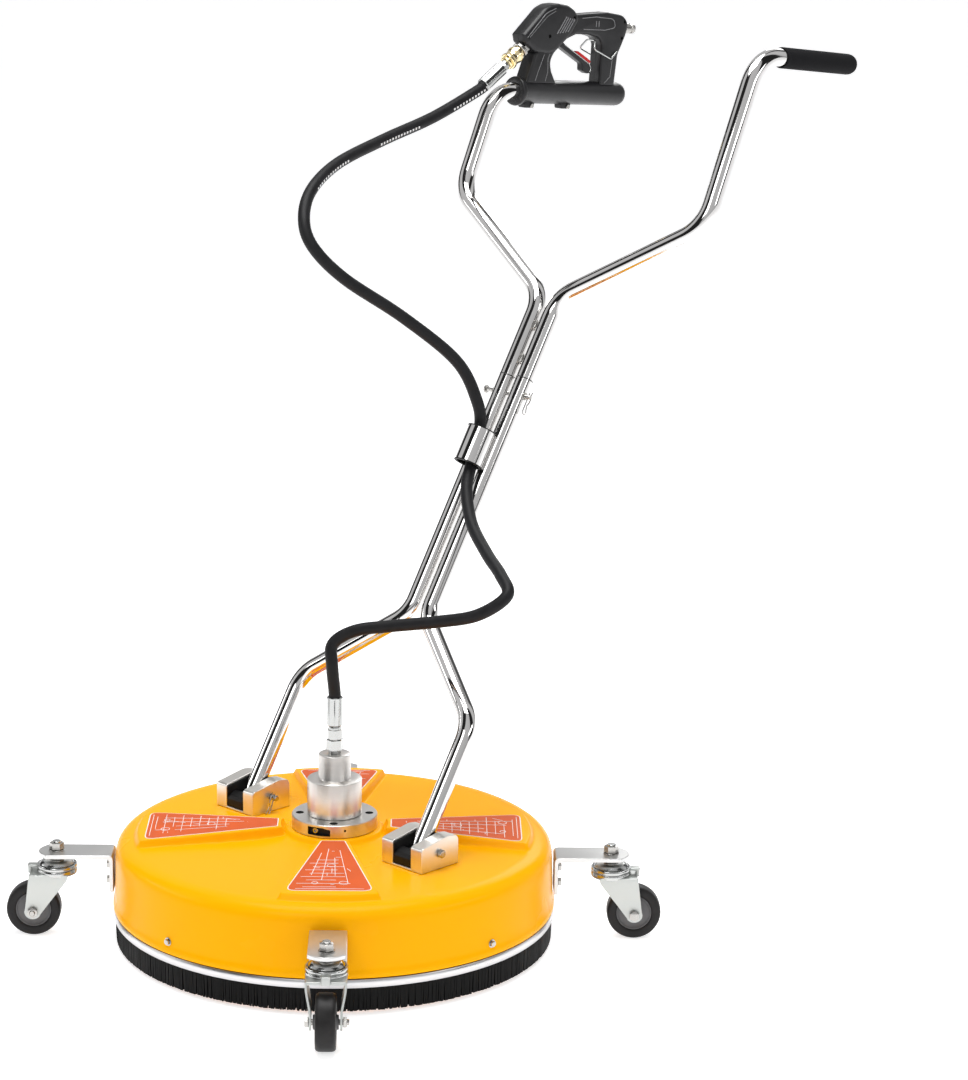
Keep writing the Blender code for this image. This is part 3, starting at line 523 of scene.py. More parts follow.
def deck():
    """Skin and underside swept round together, with closer steps over the sides of the bosses."""
    fine = [12.0 + 0.4 * k for k in range(22)]
    angles = set()
    for quarter in range(4):
        middle = 45 + 90 * quarter
        angles.update(round((middle + s * a) % 360, 3) for a in fine for s in (-1, 1))
        angles.update(round((middle + 2.5 * k) % 360, 3) for k in range(-4, 5))
        angles.update(round((middle + 21.6 + 1.95 * k) % 360, 3) for k in range(25))
    angles = sorted(angles)
    rings = []
    for layer, profile in ((0, SKIN), (1, UNDER)):
        for r, z in profile:
            ring = []
            for deg in angles:
                off = (deg - 45) % 90
                off = off - 90 if off > 45 else off
                top = boss_plane(r) - layer * SHELL_T
                share = boss_share(r, off, layer * SHELL_GROW) if 0.068 < r < 0.285 else 0.0
                height = z + (top - z) * share
                ring.append(Vector((r * cos(radians(deg)), r * sin(radians(deg)), height)))
            rings.append(ring)
    return looped(rings)


piece("deck_cover", "deck", ["deck_shell"], [(deck(), YELLOW)], crease=50)


def outward_at(deg, r, z):
    """A frame at a radius, its Z pointing outwards."""
    turn = Matrix.Rotation(radians(deg), 4, "Z")
    return turn @ Matrix.Translation((r, 0, z)) @ Matrix.Rotation(pi / 2, 4, "Y")


def washer_and_bolt(out, washer_r, washer_t, edge, across_flats, height):
    """A plain washer and a hexagon head on it."""
    return [(lathe(disc_profile(washer_r, 0.0, washer_t, edge), out, 24), BOLT),
            (hex_bar(across_flats, washer_t, height, out), BOLT)]


skirt_bolts = []
for deg in (0, 90, 180, 270):
    skirt_bolts += washer_and_bolt(outward_at(deg, 0.3026, 0.0682), 0.0058, 0.0009, 0.0002, 0.0075, 0.0044)
piece("skirt_bolts", "deck", [], skirt_bolts)


def on_boss(deg, along, across, lift):
    """A point on a boss's top, by its distances from the deck's axis and from the boss's middle line."""
    turn = Matrix.Rotation(radians(deg), 3, "Z")
    return turn @ Vector((along, across, boss_plane(sqrt(along * along + across * across)) + lift))


LABEL_IN, LABEL_OUT, LABEL_NARROW, LABEL_WIDE = 0.0775, 0.258, 0.0165, 0.058
LABEL_MARGIN, STROKE_WIDTH = 0.0045, 0.0008
LABEL = rounded([(LABEL_IN, -LABEL_NARROW), (LABEL_OUT, -LABEL_WIDE), (LABEL_OUT, LABEL_WIDE),
                 (LABEL_IN, LABEL_NARROW)], [0.002, 0.012, 0.012, 0.002], 6)


def label_plate(deg, border, low, high):
    """A thin plate of the label's outline, drawn in by a border."""
    rim = inset(anticlockwise(LABEL), border)
    return stacked([[on_boss(deg, x, y, lift) for x, y in rim] for lift in (low, high)])


def label_stroke(deg, a, b):
    """A thin printed line between two points of a label."""
    a, b = Vector(a), Vector(b)
    side = Vector((-(b - a).y, (b - a).x)).normalized() * STROKE_WIDTH / 2
    corners = [a + side, a - side, b - side, b + side]
    return stacked([[on_boss(deg, p.x, p.y, lift) for p in corners] for lift in (0.0004, 0.00085)])


def label_half(x):
    """Half the width that may be printed on, at a distance from the deck's axis."""
    flare = (LABEL_WIDE - LABEL_NARROW) / (LABEL_OUT - LABEL_IN)
    return LABEL_NARROW + (x - LABEL_IN) * flare - LABEL_MARGIN


def label_pattern(deg):
    """A plain made-up diagram: a grid, branching lines and rings."""
    strokes = []
    for k in range(9):
        x = 0.15 + 0.012 * k
        half = label_half(x) * (0.92 if k % 2 else 0.7)
        strokes.append(((x, -half), (x, half * random.uniform(0.2, 1.0))))
    for share in (-0.62, -0.25, 0.15, 0.5):
        start, end = random.uniform(0.105, 0.15), random.uniform(0.2, 0.252)
        strokes.append(((start, share * label_half(start)), (end, share * label_half(end))))
    for k in range(10):
        x = random.uniform(0.095, 0.245)
        y = random.uniform(-0.8, 0.8) * label_half(x)
        length = random.uniform(0.006, 0.018)
        end = (x + length * random.choice((0, 1)), y + length * 0.5 * random.choice((-1, 0, 1)) + 1e-4)
        strokes.append(((x, y), end))
    for cx, cy, r in ((0.17, 0.0, 0.0055), (0.232, 0.018, 0.006), (0.232, -0.02, 0.004)):
        ring = [(cx + r * cos(pi * k / 6), cy + r * sin(pi * k / 6)) for k in range(13)]
        strokes += list(zip(ring, ring[1:]))
    strokes.append(((0.252, -0.045), (0.252, 0.045)))
    return [(label_stroke(deg, a, b), WHITE) for a, b in strokes]


for tag, deg in CORNERS:
    plates = [(label_plate(deg, 0.0, 0.00005, 0.00035), WHITE),
              (label_plate(deg, 0.0014, 0.0002, 0.0006), ORANGE)]
    piece("label_" + tag, "deck", [], plates + label_pattern(deg))

# ---------------------------------------------------------------- band and brush
band = mm((302.8, 38.6), (304.1, 38.5), (304.6, 38.9), (304.6, 49.9), (304.1, 50.3), (302.8, 50.2))
piece("skirt_band", "deck", ["brush_band"], [(lathe(band, segments=220), BAND)], crease=60)
core = mm((288.5, 30), (289.5, 14), (299, 14), (301, 30), (302.2, 50), (294.5, 50.5), (294.5, 64),
          (288.5, 64))
TUFT = ((-0.0011, -1.0), (0.0011, -0.9), (0.0013, 0.9), (-0.0011, 1.0))


def bristles():
    """Rings of tapered tufts with ragged tips."""
    verts, faces = [], []
    for ring_r, count in ((0.3008, 620), (0.2975, 540), (0.293, 400), (0.29, 400)):
        for k in range(count):
            turn = 2 * pi * (k + random.uniform(-0.25, 0.25)) / count
            half = pi * ring_r / count * 0.92
            tip_z = 0.0051 + random.uniform(0.0, 0.0009)
            lean = random.uniform(-0.0009, 0.0009)
            out = Matrix.Rotation(turn, 3, "Z")
            base = len(verts)
            for z, share, push in ((0.05, 1.0, 0.0), (0.02, 1.0, 0.35), (tip_z, 0.9, 1.0)):
                r = ring_r - 0.0007 * push
                for deep, side in TUFT:
                    verts.append(out @ Vector((r + deep * share, half * side * share + lean * push, z)))
            for level in (0, 4):
                for j in range(4):
                    a, b = base + level + j, base + level + (j + 1) % 4
                    faces.append((a, b, b + 4, a + 4))
            faces.append(tuple(base + j for j in range(4)))
            faces.append(tuple(base + 8 + j for j in range(4)))
    return verts, faces


brush = [(lathe(core, segments=160), BRISTLE), (bristles(), BRISTLE)]
piece("brush", "deck", ["brush_skirt"], brush)

# ---------------------------------------------------------------- hub
WINDOW_DEG = 114.5
flange_rim = ring_profile(0.0213, 0.059, 0.159, 0.1775, 0.001)
recess = mm((0, 171), (5.3, 171), (5.3, 176.8), (6, 178), (0, 178))
screw = mm((0, 171.2), (4.3, 171.2), (4.3, 175.2), (3.8, 175.6), (2.2, 175.6), (2.2, 172.8), (0, 172.8))
# The recesses, window slot and small hole are cut with the near-black of painted shade on their walls.
holes, screws = [], []
for k in range(4):
    sink = Matrix.Translation(Matrix.Rotation(radians(45 + 90 * k), 3, "Z") @ Vector((0.0478, 0, 0)))
    holes.append((lathe(recess, sink, 24), RECESS_SHADE))
    screws.append((lathe(screw, sink, 24), OXIDE))
window = Matrix.Rotation(radians(WINDOW_DEG), 4, "Z")
slot_outline = rounded(mm((-16.5, 162.2), (16.5, 162.2), (16.5, 171.2), (6, 173.8), (-16.5, 173.8)), 0.0015)
holes.append((prism(slot_outline, 0.0505, 0.07, window @ ACROSS), RECESS_SHADE))
small_hole = facing((0, 0, 0.17), Matrix.Rotation(radians(WINDOW_DEG + 36), 3, "Z") @ Vector((1, 0, 0)))
holes.append((lathe(disc_profile(0.0016, 0.05, 0.062, 0.0001), small_hole, 12), RECESS_SHADE))
piece("flange", "deck", ["hub_flange"], [(lathe(flange_rim, segments=128), SATIN)], cuts=holes)
side_screw = mm((0, 0), (4.2, 0), (4.2, 5.2), (3.6, 5.8), (2, 5.8), (2, 3), (0, 3))
side_at = window @ Matrix.Translation((0.05, -0.006, 0.168)) @ Matrix.Rotation(pi / 2, 4, "Y")
screws.append((lathe(side_screw, side_at, 24), BOLT))
piece("flange_screws", "deck", [], screws)
housing = mm((21.3, 177.8), (36.8, 177.8), (37.5, 178.6), (37.5, 226.8), (37.1, 227.8), (36, 228.4),
             (22.6, 228.4), (22.2, 229), (22.2, 261.8), (21.8, 262.9), (20.8, 263.5), (6.7, 263.5),
             (6.7, 229.2), (14, 229.2), (14, 219.2), (21.3, 219.2))
piece("housing", "deck", ["hub_housing"], [(lathe(housing, segments=128), SATIN)])
for tag, low in (("lower", 0.1606), ("upper", 0.2045)):
    races = [ring_profile(0.0103, 0.0135, low, low + 0.0142, 0.0005),
             ring_profile(0.0178, 0.021, low, low + 0.0142, 0.0005),
             ring_profile(0.0136, 0.0177, low + 0.0012, low + 0.013, 0.0003)]
    parts = [(lathe(race, segments=48), BOLT if k < 2 else RUBBER) for k, race in enumerate(races)]
    piece("bearing_" + tag + "_races", "deck", ["bearing_" + tag], parts)
seal = mm((8.4, 220.2), (13.6, 220.2), (13.6, 228.6), (11, 228.6), (10.4, 223), (9, 223), (8.6, 228.6),
          (8.4, 228.6))
piece("seal", "deck", ["shaft_seal"], [(lathe(seal), RUBBER)])

# ---------------------------------------------------------------- rotor
shaft = mm((4, 71.5), (9.4, 71.5), (10, 72.2), (10, 148), (13, 148), (13.5, 148.5), (13.5, 159.7),
           (13, 160.2), (10, 160.2), (10, 219), (8, 219.2), (8, 228), (7.5, 228.6), (4, 228.6))
piece("shaft", "rotor", ["rotor_shaft"], [(lathe(shaft, segments=48), BOLT)])
ARM_Z = 0.083
head = mm((10.3, 70), (20.5, 70), (22, 71.5), (22, 94.5), (20.5, 96), (10.3, 96))
arm_holes = [(drum(0.0061, 0, 0.02, facing((s * 0.013, 0, ARM_Z), (s, 0, 0))), BRASS) for s in (-1, 1)]
piece("head_block", "rotor", ["rotor_head"], [(lathe(head, segments=64), BRASS)], cuts=arm_holes)
jet = mm((0, 10), (6, 10), (5.2, 16), (2, 16.4), (1.2, 14), (0, 14))
for sign, tag in ((1, "a"), (-1, "b")):
    reach = filleted([(sign * 0.0135, 0, ARM_Z), (sign * 0.256, 0, ARM_Z),
                      (sign * 0.262, -sign * 0.008, 0.064)], [0.012], 8)
    collar = facing((sign * 0.0222, 0, ARM_Z), (sign, 0, 0))
    piece("arm_" + tag, "rotor", ["spray_arm_" + tag],
          [(rod(reach, 0.006, 24), ZINC), (hex_bar(0.0155, 0.0002, 0.008, collar), BOLT)])
    down = (reach[-1] - reach[-2]).normalized()
    tip = facing(reach[-1] + down * 0.0003, down, (1, 0, 0))
    piece("jet_" + tag, "rotor", ["nozzle_" + tag],
          [(hex_bar(0.0135, 0.0, 0.01, tip), BOLT), (lathe(jet, tip, 32), BOLT)])


# ---------------------------------------------------------------- casters
def cheek(side):
    """One side plate of a fork: tapering down to the axle, leaning outwards at the top."""
    cx, cz, r = TRAIL, WHEEL_R, 0.0108
    rows = []
    heights = [cz - r * cos(pi / 2 * k / 7) for k in range(8)] + [0.042 + 0.0495 * k / 12 for k in range(13)]
    for z in heights:
        bow = sqrt(max(0.0, r * r - (z - cz) ** 2)) + 0.0006
        low_x = cx - bow if z < 0.0311 else -0.0165 + (0.086 - z) * 0.7359
        high_x = cx + bow if z < 0.0389 else 0.0365 + (0.0915 - z) * 0.1299
        low_x = max(low_x, -0.0165)
        out = 0.0185 + 0.0055 * ease((z - 0.046) / 0.042)
        rows.append([(low_x + (high_x - low_x) * j / 4, out, z) for j in range(5)])
    verts, faces = [], []
    for thick in (0.0, 0.0028):
        for row in rows:
            verts += [Vector((x, side * (y + thick), z)) for x, y, z in row]
    layer, wide = len(rows) * 5, 5
    for k in range(len(rows) - 1):
        for j in range(4):
            a = k * wide + j
            faces.append((a, a + 1, a + wide + 1, a + wide))
            faces.append((a + layer, a + layer + wide, a + layer + wide + 1, a + layer + 1))
    rim = list(range(5)) + [k * wide + 4 for k in range(1, len(rows))]
    top = (len(rows) - 1) * wide
    rim += [top + j for j in (3, 2, 1, 0)] + [k * wide for k in range(len(rows) - 2, 0, -1)]
    for a, b in zip(rim, rim[1:] + rim[:1]):
        faces.append((a, b, b + layer, a + layer))
    return verts, faces


def moved(shape, frame):
    """A shape put into a frame."""
    return [frame @ v for v in shape[0]], shape[1]


def caster(tag, deg):
    turn = Matrix.Rotation(radians(deg), 4, "Z")
    stand = turn @ Matrix.Translation((STEM_R, 0, 0))
    low = PLATE_Z - 0.0055
    corner = [(0.3036, 0.068), (0.3091, 0.068), (0.3091, low - 0.004), (0.3101, low - 0.001), (0.3131, low)]
    corner += [(0.42, low), (0.42, PLATE_Z), (0.31, PLATE_Z), (0.306, PLATE_Z - 0.001),
               (0.3041, PLATE_Z - 0.0032), (0.3036, PLATE_Z - 0.0065)]
    bow = [(0.408 - 0.012 * (k / 10) ** 2, 0.0245 * k / 10) for k in range(-10, 11)]
    plan = [(0.3, -0.0245)] + bow + [(0.3, 0.0245)]
    plate = piece("bracket_" + tag, "deck", ["caster_bracket_" + tag],
                  [(prism(corner, -0.026, 0.026, turn @ SIDE_ON), STEEL)])
    carve(plate, [(prism(plan, 0.05, 0.13, turn), STEEL)], "INTERSECT")
    carve(plate, [(drum(0.0063, 0.11, 0.13, stand), STEEL)])
    shade(plate, 35)
    soften = plate.modifiers.new("edges", "BEVEL")
    soften.width, soften.segments = 0.0007, 2
    soften.limit_method, soften.angle_limit = "ANGLE", radians(40)

    washer = ring_profile(0.0061, 0.0108, PLATE_Z + 0.0001, PLATE_Z + 0.0016, 0.0003)
    fixings = [(hex_bar(0.0175, PLATE_Z + 0.0016, PLATE_Z + 0.0118, stand, 0.0016), BOLT),
               (lathe(washer, stand, 32), BOLT)]
    for z in (0.1005, 0.0785):
        fixings += washer_and_bolt(outward_at(deg, 0.3092, z), 0.0068, 0.0012, 0.0003, 0.01, 0.0056)
    piece("bracket_fixings_" + tag, "deck", [], fixings)

    stud = mm((0, 85), (7, 85), (8.5, 86), (8.5, 87.6), (6, 87.8), (6, 100.3), (22.5, 100.3),
              (23.7, 101.2), (23.7, 103), (21.5, 105.8), (18.5, 107.8), (14, 108.5), (6, 108.5),
              (6, 133.5), (5.4, 134.5), (0, 134.5))
    threads = [(lathe([(0.0055, z), (0.00625, z + 0.0004), (0.0055, z + 0.0008)], stand, 24), BOLT)
               for z in (0.1326, 0.1334)]
    stem = [(lathe(stud, stand, 48), ZINC), (hex_bar(0.018, 0.1086, low - 0.0002, stand, 0.001), BOLT)]
    piece("stem_" + tag, "deck", ["caster_stem_" + tag], stem + threads)

    race = mm((6.6, 88.4), (26.2, 88.4), (27.4, 89.2), (28, 90.5), (28, 95), (27.4, 96), (26.8, 96.4),
              (27.4, 97), (28, 98.2), (28, 100.8), (27.2, 102), (25.6, 102), (24.8, 101.2), (24.8, 99.8),
              (6.6, 99.8))
    web = pillow(rounded(oblong(-16.5, 36.5, 26.6), 0.003), 0.0885, 0.0921, 0.0012, stand)
    tab = pillow(rounded(oblong(25, 40.2, 6.2), 0.003), 0.0975, 0.1005, 0.0008, stand, both=True)
    tongue = pillow(rounded(oblong(34.5, 39.8, 5.8), 0.0015), 0.089, 0.0985, 0.0006, stand)
    fork = [(lathe(race, stand, 72), ZINC), (web, DULL), (tab, DULL), (tongue, DULL)]
    fork += [(moved(cheek(side), stand), DULL) for side in (1, -1)]
    body = "swivel_" + tag
    piece("fork_" + tag, body, ["caster_fork_" + tag], fork, crease=40)

    axle = stand @ Vector((TRAIL, 0, WHEEL_R))
    spin = facing(axle, turn.to_3x3() @ Vector((0, 1, 0)))
    shank = mm((0, -24), (4, -24), (4, 28.5), (3.2, 29.8), (0, 29.8))
    bolt = [(lathe(shank, spin, 24), BOLT), (hex_bar(0.013, -0.0272, -0.0217, spin, 0.0012), BOLT),
            (hex_bar(0.013, 0.022, 0.0268, spin, 0.001), BOLT)]
    piece("axle_" + tag, body, ["caster_axle_" + tag], bolt)
    tread = mm((23.8, 10.5), (25.2, 12.6), (27, 13.2), (33, 13.4), (35.2, 12.8), (36.6, 11.2), (37.3, 8.6))
    tread.append((WHEEL_R, 0.005))
    disc = mm((4.4, 16.5), (8.8, 16.5), (9.6, 15.8), (10.4, 10.2), (12, 9), (20.8, 9), (22.2, 10),
              (23.2, 11.2), (24.2, 11.2), (24.3, 9))
    parts = [(lathe([(r, -s) for r, s in half] + half[::-1], spin, 96), mat)
             for half, mat in ((tread, TYRE), (disc, CORE))]
    piece("wheel_disc_" + tag, "wheel_" + tag, ["caster_wheel_" + tag], parts, crease=50)


for tag, deg in CORNERS:
    caster(tag, deg)


# ---------------------------------------------------------------- handle mounts
def spring_clip(at, along, down):
    """A wire clip through a pin: one straight leg, one bowed leg round the pin."""
    along, down = Vector(along).normalized(), Vector(down).normalized()
    points = mm((-6, 0), (20, 0), (24.5, 2), (25, 6), (21.5, 7.8), (17, 5.5), (12, 4), (6, 6.2), (0, 6.5),
                (-5, 4.2), (-9, 5.5))
    path = [Vector(at) + down * a + along * b for a, b in points]
    return rod(filleted(path, [0.0018] * 9, 3), 0.0009, 10)


def mount(tag, sign):
    middle = Vector((sign * PIVOT_X, 0, 0.1478))
    place = Matrix.Translation(middle) @ ACROSS
    shape = mm((-35, 0), (35, 0), (35, 34.5), (-15, 43), (-35, 40.5))
    shape = rounded(shape, [0, 0, 0.0055, 0.02, 0.012], 6)
    block = [(prism(shape, -0.038, 0.038, place), MILLED)]
    cuts = [(box((-0.05, 0.003, -0.017), (0.05, 0.06, 0.017), place), MILLED),
            (drum(0.0043, -0.06, 0.06, facing((middle.x, 0, PIVOT_Z), (1, 0, 0)), 32), MILLED)]
    piece("mount_" + tag, "deck", ["clevis_block_" + tag], block, bevel=0.0009, cuts=cuts)
    pad = mm((34.5, 3.3), (34.5, 15), (31, 20), (23, 23.5), (16.5, 23.5), (16.5, 10), (12, 5.6),
             (-12, 5.6), (-16.5, 10), (-16.5, 21), (-16, 23.2), (-22.6, 34), (-30, 35), (-34.5, 30),
             (-34.5, 3.3))
    pad = rounded(pad, 0.002, 3)
    liner = mm((-34, 3.4), (34, 3.4), (34, 32), (-15, 40.5), (-33.5, 38.5))
    liner = rounded(liner, [0, 0, 0.005, 0.02, 0.011], 5)
    lining = [(prism(liner, 0.015, 0.0168, place), RUBBER), (prism(liner, -0.0168, -0.015, place), RUBBER)]
    piece("pad_" + tag, "deck", ["clevis_pad_" + tag],
          [(prism(pad, -0.0149, 0.0149, place), RUBBER)] + lining, bevel=0.0004)
    outward = facing((middle.x, 0, PIVOT_Z), (sign, 0, 0))
    pin = mm((0, -50), (3.2, -50), (4, -49), (4, 38.3), (4.8, 38.3), (5.6, 39), (5.6, 42.8), (4.6, 43.8),
             (0, 44))
    clip = spring_clip((sign * (PIVOT_X - 0.0435), 0, PIVOT_Z), (0, 1, 0), (0, 0.35, -0.94))
    piece("pin_" + tag, "deck", ["pivot_pin_" + tag],
          [(lathe(pin, outward, 32), BOLT), (clip, BOLT)])


mount("right", 1)
mount("left", -1)

# ---------------------------------------------------------------- handle tubes
FOAM_BACK = Vector((0, -cos(radians(7.0)), -sin(radians(7.0))))
SIDES = (("right", 1, UPRIGHT_GUN, 0.255, BACK), ("left", -1, UPRIGHT_FOAM, 0.2, FOAM_BACK))
for tag, sign, upright, grip, away in SIDES:
    lower = filleted([on_handle(sign * PIVOT_X, -0.009), on_handle(sign * PIVOT_X, V_BEND1),
                      on_handle(sign * PAIR_X, V_BEND2), on_handle(sign * PAIR_X, V_JOINT - 0.0003)],
                     [0.055, 0.045])
    pin_hole = drum(0.0044, -0.03, 0.03, facing(on_handle(sign * PIVOT_X, 0), (1, 0, 0)))
    piece("leg_" + tag, "handle", ["lower_tube_" + tag],
          [(pipe(lower, TUBE_R, TUBE_BORE), POLISH)], cuts=[(pin_hole, POLISH)], crease=40)
    bend = elbow(sign, upright)
    upper = filleted([on_handle(sign * PAIR_X, V_JOINT), on_handle(sign * PAIR_X, V_BEND4),
                      on_handle(sign * GRIP_X, V_BEND5, SPLAY_OFF), bend, bend + away * grip],
                     [0.05, 0.06, 0.055])
    spigot = [on_handle(sign * PAIR_X, 0.63), on_handle(sign * PAIR_X, V_JOINT)]
    pipes = [(pipe(upper, TUBE_R, TUBE_BORE - 0.001), POLISH),
             (pipe(spigot, TUBE_BORE - 0.0003, 0.0092), POLISH)]
    piece("arm_tube_" + tag, "handle", ["upper_tube_" + tag], pipes, crease=40)

PIN_V = 0.647
pin_at = facing(on_handle(0, PIN_V), (1, 0, 0))
pin = mm((0, -40), (2.4, -40), (3, -39), (3, 44), (5, 44), (5.6, 44.6), (5.6, 46.2), (4.8, 46.8), (0, 47))
collars = [(lathe(ring_profile(0.0031, 0.0055, a, a + 0.0012, 0.0002), pin_at, 24), BOLT)
           for a in (0.0288, -0.03)]
clip = spring_clip(on_handle(-0.036, PIN_V), -FRONT, -UP)
joint = [(lathe(pin, pin_at, 32), BOLT), (clip, BOLT)] + collars
piece("cross_pin", "handle", ["joint_pin"], joint)
weld = ring_profile(TUBE_BORE, TUBE_R + 0.0003, -0.0007, 0.0007, 0.0003)
ties = [(lathe(weld, facing(on_handle(sign * PAIR_X, V_JOINT), UP), 48), OXIDE) for sign in (1, -1)]
for v in (0.7, 0.753):
    for off in (0.005, -0.005):
        bead = [on_handle(0, v + d, off) for d in (-0.007, -0.0055, 0, 0.0055, 0.007)]
        ties.append((rod(bead, [0.0008, 0.0026, 0.0032, 0.0026, 0.0008], 12), BOLT))
piece("tube_welds", "handle", [], ties)

GUIDE_R = 0.0198
guide_at = facing(on_handle(GUIDE_X, GUIDE_V, GUIDE_OFF), UP)
shell = [(GUIDE_R - 0.0013, -0.0255), (GUIDE_R, -0.0255), (GUIDE_R, 0.0255), (GUIDE_R - 0.0013, 0.0255)]
trim = mm((-3, 23.5), (-1.4, 23.5), (-1.4, 25.4), (0.6, 25.4), (0.8, 26.8), (-3, 27.2))
trims = [(lathe([(GUIDE_R + r, s * z) for r, z in trim], guide_at, 64), RUBBER) for s in (1, -1)]
piece("guide_ring", "handle", ["hose_guide"], [(lathe(shell, guide_at, 96), POLISH)] + trims)

foam_at = facing(elbow(-1, UPRIGHT_FOAM), FOAM_BACK)
foam = mm((12.8, 50), (14, 49.5), (14.8, 51), (14.8, 199), (14.3, 204), (12.8, 208), (10, 210),
          (0, 210.5), (0, 203.5), (12.8, 203.5))
piece("grip_foam", "handle", ["foam_grip"], [(lathe(foam, foam_at, 64), FOAM)], crease=60)

# ---------------------------------------------------------------- trigger gun
GUN = Matrix((BACK, GRIP_UP, BACK.cross(GRIP_UP))).transposed().to_4x4()
GUN.translation = MOUTH
sleeve = mm((12.8, -6), (19.5, -6), (21.2, -5), (21.8, -3), (21.6, 0), (20.5, 2.8), (19, 4.2), (18, 6),
            (18, 217), (17.6, 221), (16.2, 225), (13.8, 228), (10, 229.6), (0, 230), (0, 217),
            (12.8, 217))
# Thin near-black slabs at the sleeve's mouth: painted shade standing for its notches.
notches = []
for k in range(20):
    out = facing(MOUTH, BACK) @ Matrix.Rotation(2 * pi * k / 20, 4, "Z")
    notch = rounded(oblong(15, 17.2, 1.2), 0.0006, 2)
    notches.append((pillow(notch, -0.0063, -0.0054, 0.0003, out, 2), RECESS_SHADE))
clamps = []
for b in (0.013, 0.093):
    lug = [(b, -0.0242), (b + 0.019, -0.0242), (b + 0.021, -0.015), (b - 0.002, -0.015)]
    clamps.append((pillow(rounded(lug, 0.003), -0.0072, 0.0072, 0.0015, GUN, both=True), BLACK))
    head_at = GUN @ Matrix.Translation((b + 0.014, -0.0208, 0))
    for low, high in ((0.007, 0.0092), (-0.0092, -0.007)):
        clamps.append((lathe(disc_profile(0.0036, low, high, 0.0005), head_at, 24), BOLT))
piece("grip_sleeve", "handle", ["gun_sleeve"],
      [(lathe(sleeve, facing(MOUTH, BACK), 64), BLACK)] + clamps + notches, crease=45)

ARCH_ARCS = [0, 0.01, 0.02, 0.02, 0.03, 0.03, 0.02, 0.02, 0.02, 0.02, 0.02, 0,
             0, 0.01, 0.02, 0.03, 0.02, 0.02, 0.02, 0.02, 0.02, 0]
ARCH = rounded(mm((5.5, 12), (22, 58), (48, 80), (90, 115), (125, 118.5), (178, 123), (212.9, 119.8),
                  (225.8, 108), (221.1, 89.8), (213.8, 74.4), (206.3, 60), (203, 12), (170, 12),
                  (169, 74), (161, 84), (137, 88), (110, 87.5), (90, 80), (62, 57), (56, 45), (60, 32),
                  (73, 12)), ARCH_ARCS)
HEAD_ARCS = [0.004, 0.03, 0.03, 0.03, 0.02, 0.02, 0.012, 0.012, 0.02, 0.02, 0.012, 0.02, 0.006]
HEAD = rounded(mm((-7, 83.5), (36.5, 124), (50, 130), (66.5, 132), (87, 130.2), (101, 124), (110.5, 114),
                  (110, 106), (96.7, 87.4), (64, 59), (48, 56), (22, 58), (-2.6, 71)), HEAD_ARCS)
TRIGGER_SLOT = mm((56, 50), (106, 52), (116, 78), (106, 90.5), (60, 90.5))
TRIGGER_PIVOT = (0.07, 0.078)
HEAD_HALF, BODY_HALF = 0.0158, 0.0135
SCREW_HOLES = ((0.0985, 0.112, HEAD_HALF), (0.047, 0.083, HEAD_HALF), (0.215, 0.11, BODY_HALF),
               (0.211, 0.085, BODY_HALF))
GROOVE = mm((118, 112), (150, 115), (196, 113), (192, 100), (170, 96), (122, 95.5))
SEAMS = (mm((46, 16.5), (50, 30), (48.5, 50), (52, 57)), mm((24, 16.5), (29, 30), (40, 56)),
         mm((178, 16.5), (190, 26), (193, 60)))
GROOVE_Z, SEAM_Z = 0.0134, 0.0131
for tag, sign in (("right", 1), ("left", -1)):
    flip = GUN @ Matrix.Scale(-sign, 4, (0, 0, 1))
    seat = drum(0.0181, -0.03, 0.24, facing(MOUTH, BACK), 48)
    nose = drum(0.0101, -0.006, 0.03, facing(outlet(0), AWAY), 32)
    slot_cut = prism(TRIGGER_SLOT, -0.001, 0.0066, flip)
    half = piece("gun_half_" + tag, "handle", ["gun_shell_" + tag],
                 [(pillow(ARCH, 0.00015, BODY_HALF, 0.005, flip), BLACK)])
    carve(half, [(pillow(HEAD, 0.00015, HEAD_HALF, 0.0075, flip, 6), BLACK)], "UNION")
    tools = [(seat, BLACK), (nose, BLACK), (slot_cut, BLACK)]
    # Screw holes with walls in the near-black of painted shade.
    for b, h, z in SCREW_HOLES:
        screw_hole = disc_profile(0.0029, z - 0.006, z + 0.004, 0.0001)
        tools.append((lathe(screw_hole, flip @ Matrix.Translation((b, h, 0)), 20), RECESS_SHADE))
    carve(half, tools)
    shade(half, 40)
    # Raised rods on each shell half, in the light grey of painted highlight along its mould lines.
    ribs = []
    along, inward = Vector((0.58, 0.81)), Vector((-0.81, 0.58))
    for k in range(5):
        middle = Vector((0.1, 0.0945)) + inward * (0.01 + 0.0042 * k) - along * 0.003 * k
        reach = 0.0125 + 0.0012 * k
        line = [flip @ Vector((*(middle + along * reach * t), HEAD_HALF - lift))
                for t, lift in ((-1, 0.002), (-0.85, 0.0), (0.85, 0.0), (1, 0.002))]
        ribs.append((rod(line, 0.0011, 10), RIB_HIGHLIGHT))
    groove = filleted(laid(GROOVE, GROOVE_Z, flip), [0.01, 0.01, 0.006, 0.006], 5)
    ribs.append((rod(groove, 0.0007, 8), RIB_HIGHLIGHT))
    for x in (0.15, 0.156):
        ribs.append((rod(laid([(x, 0.1), (x, 0.109)], GROOVE_Z, flip), 0.0009, 8), RIB_HIGHLIGHT))
    for seam in SEAMS:
        ribs.append((rod(laid(seam, SEAM_Z, flip), 0.0008, 8), RIB_HIGHLIGHT))
    for step in (0.0, 0.0042):
        crown = [(-0.001 + step, 0.08), (0.036 + step * 0.7, 0.117 - step), (0.056, 0.1245 - step)]
        crown = filleted(laid(crown, HEAD_HALF - 0.0004, flip), [0.03], 6)
        ribs.append((rod(crown, 0.0006, 8), RIB_HIGHLIGHT))
    piece("gun_highlight_ribs_" + tag, "handle", [], ribs)

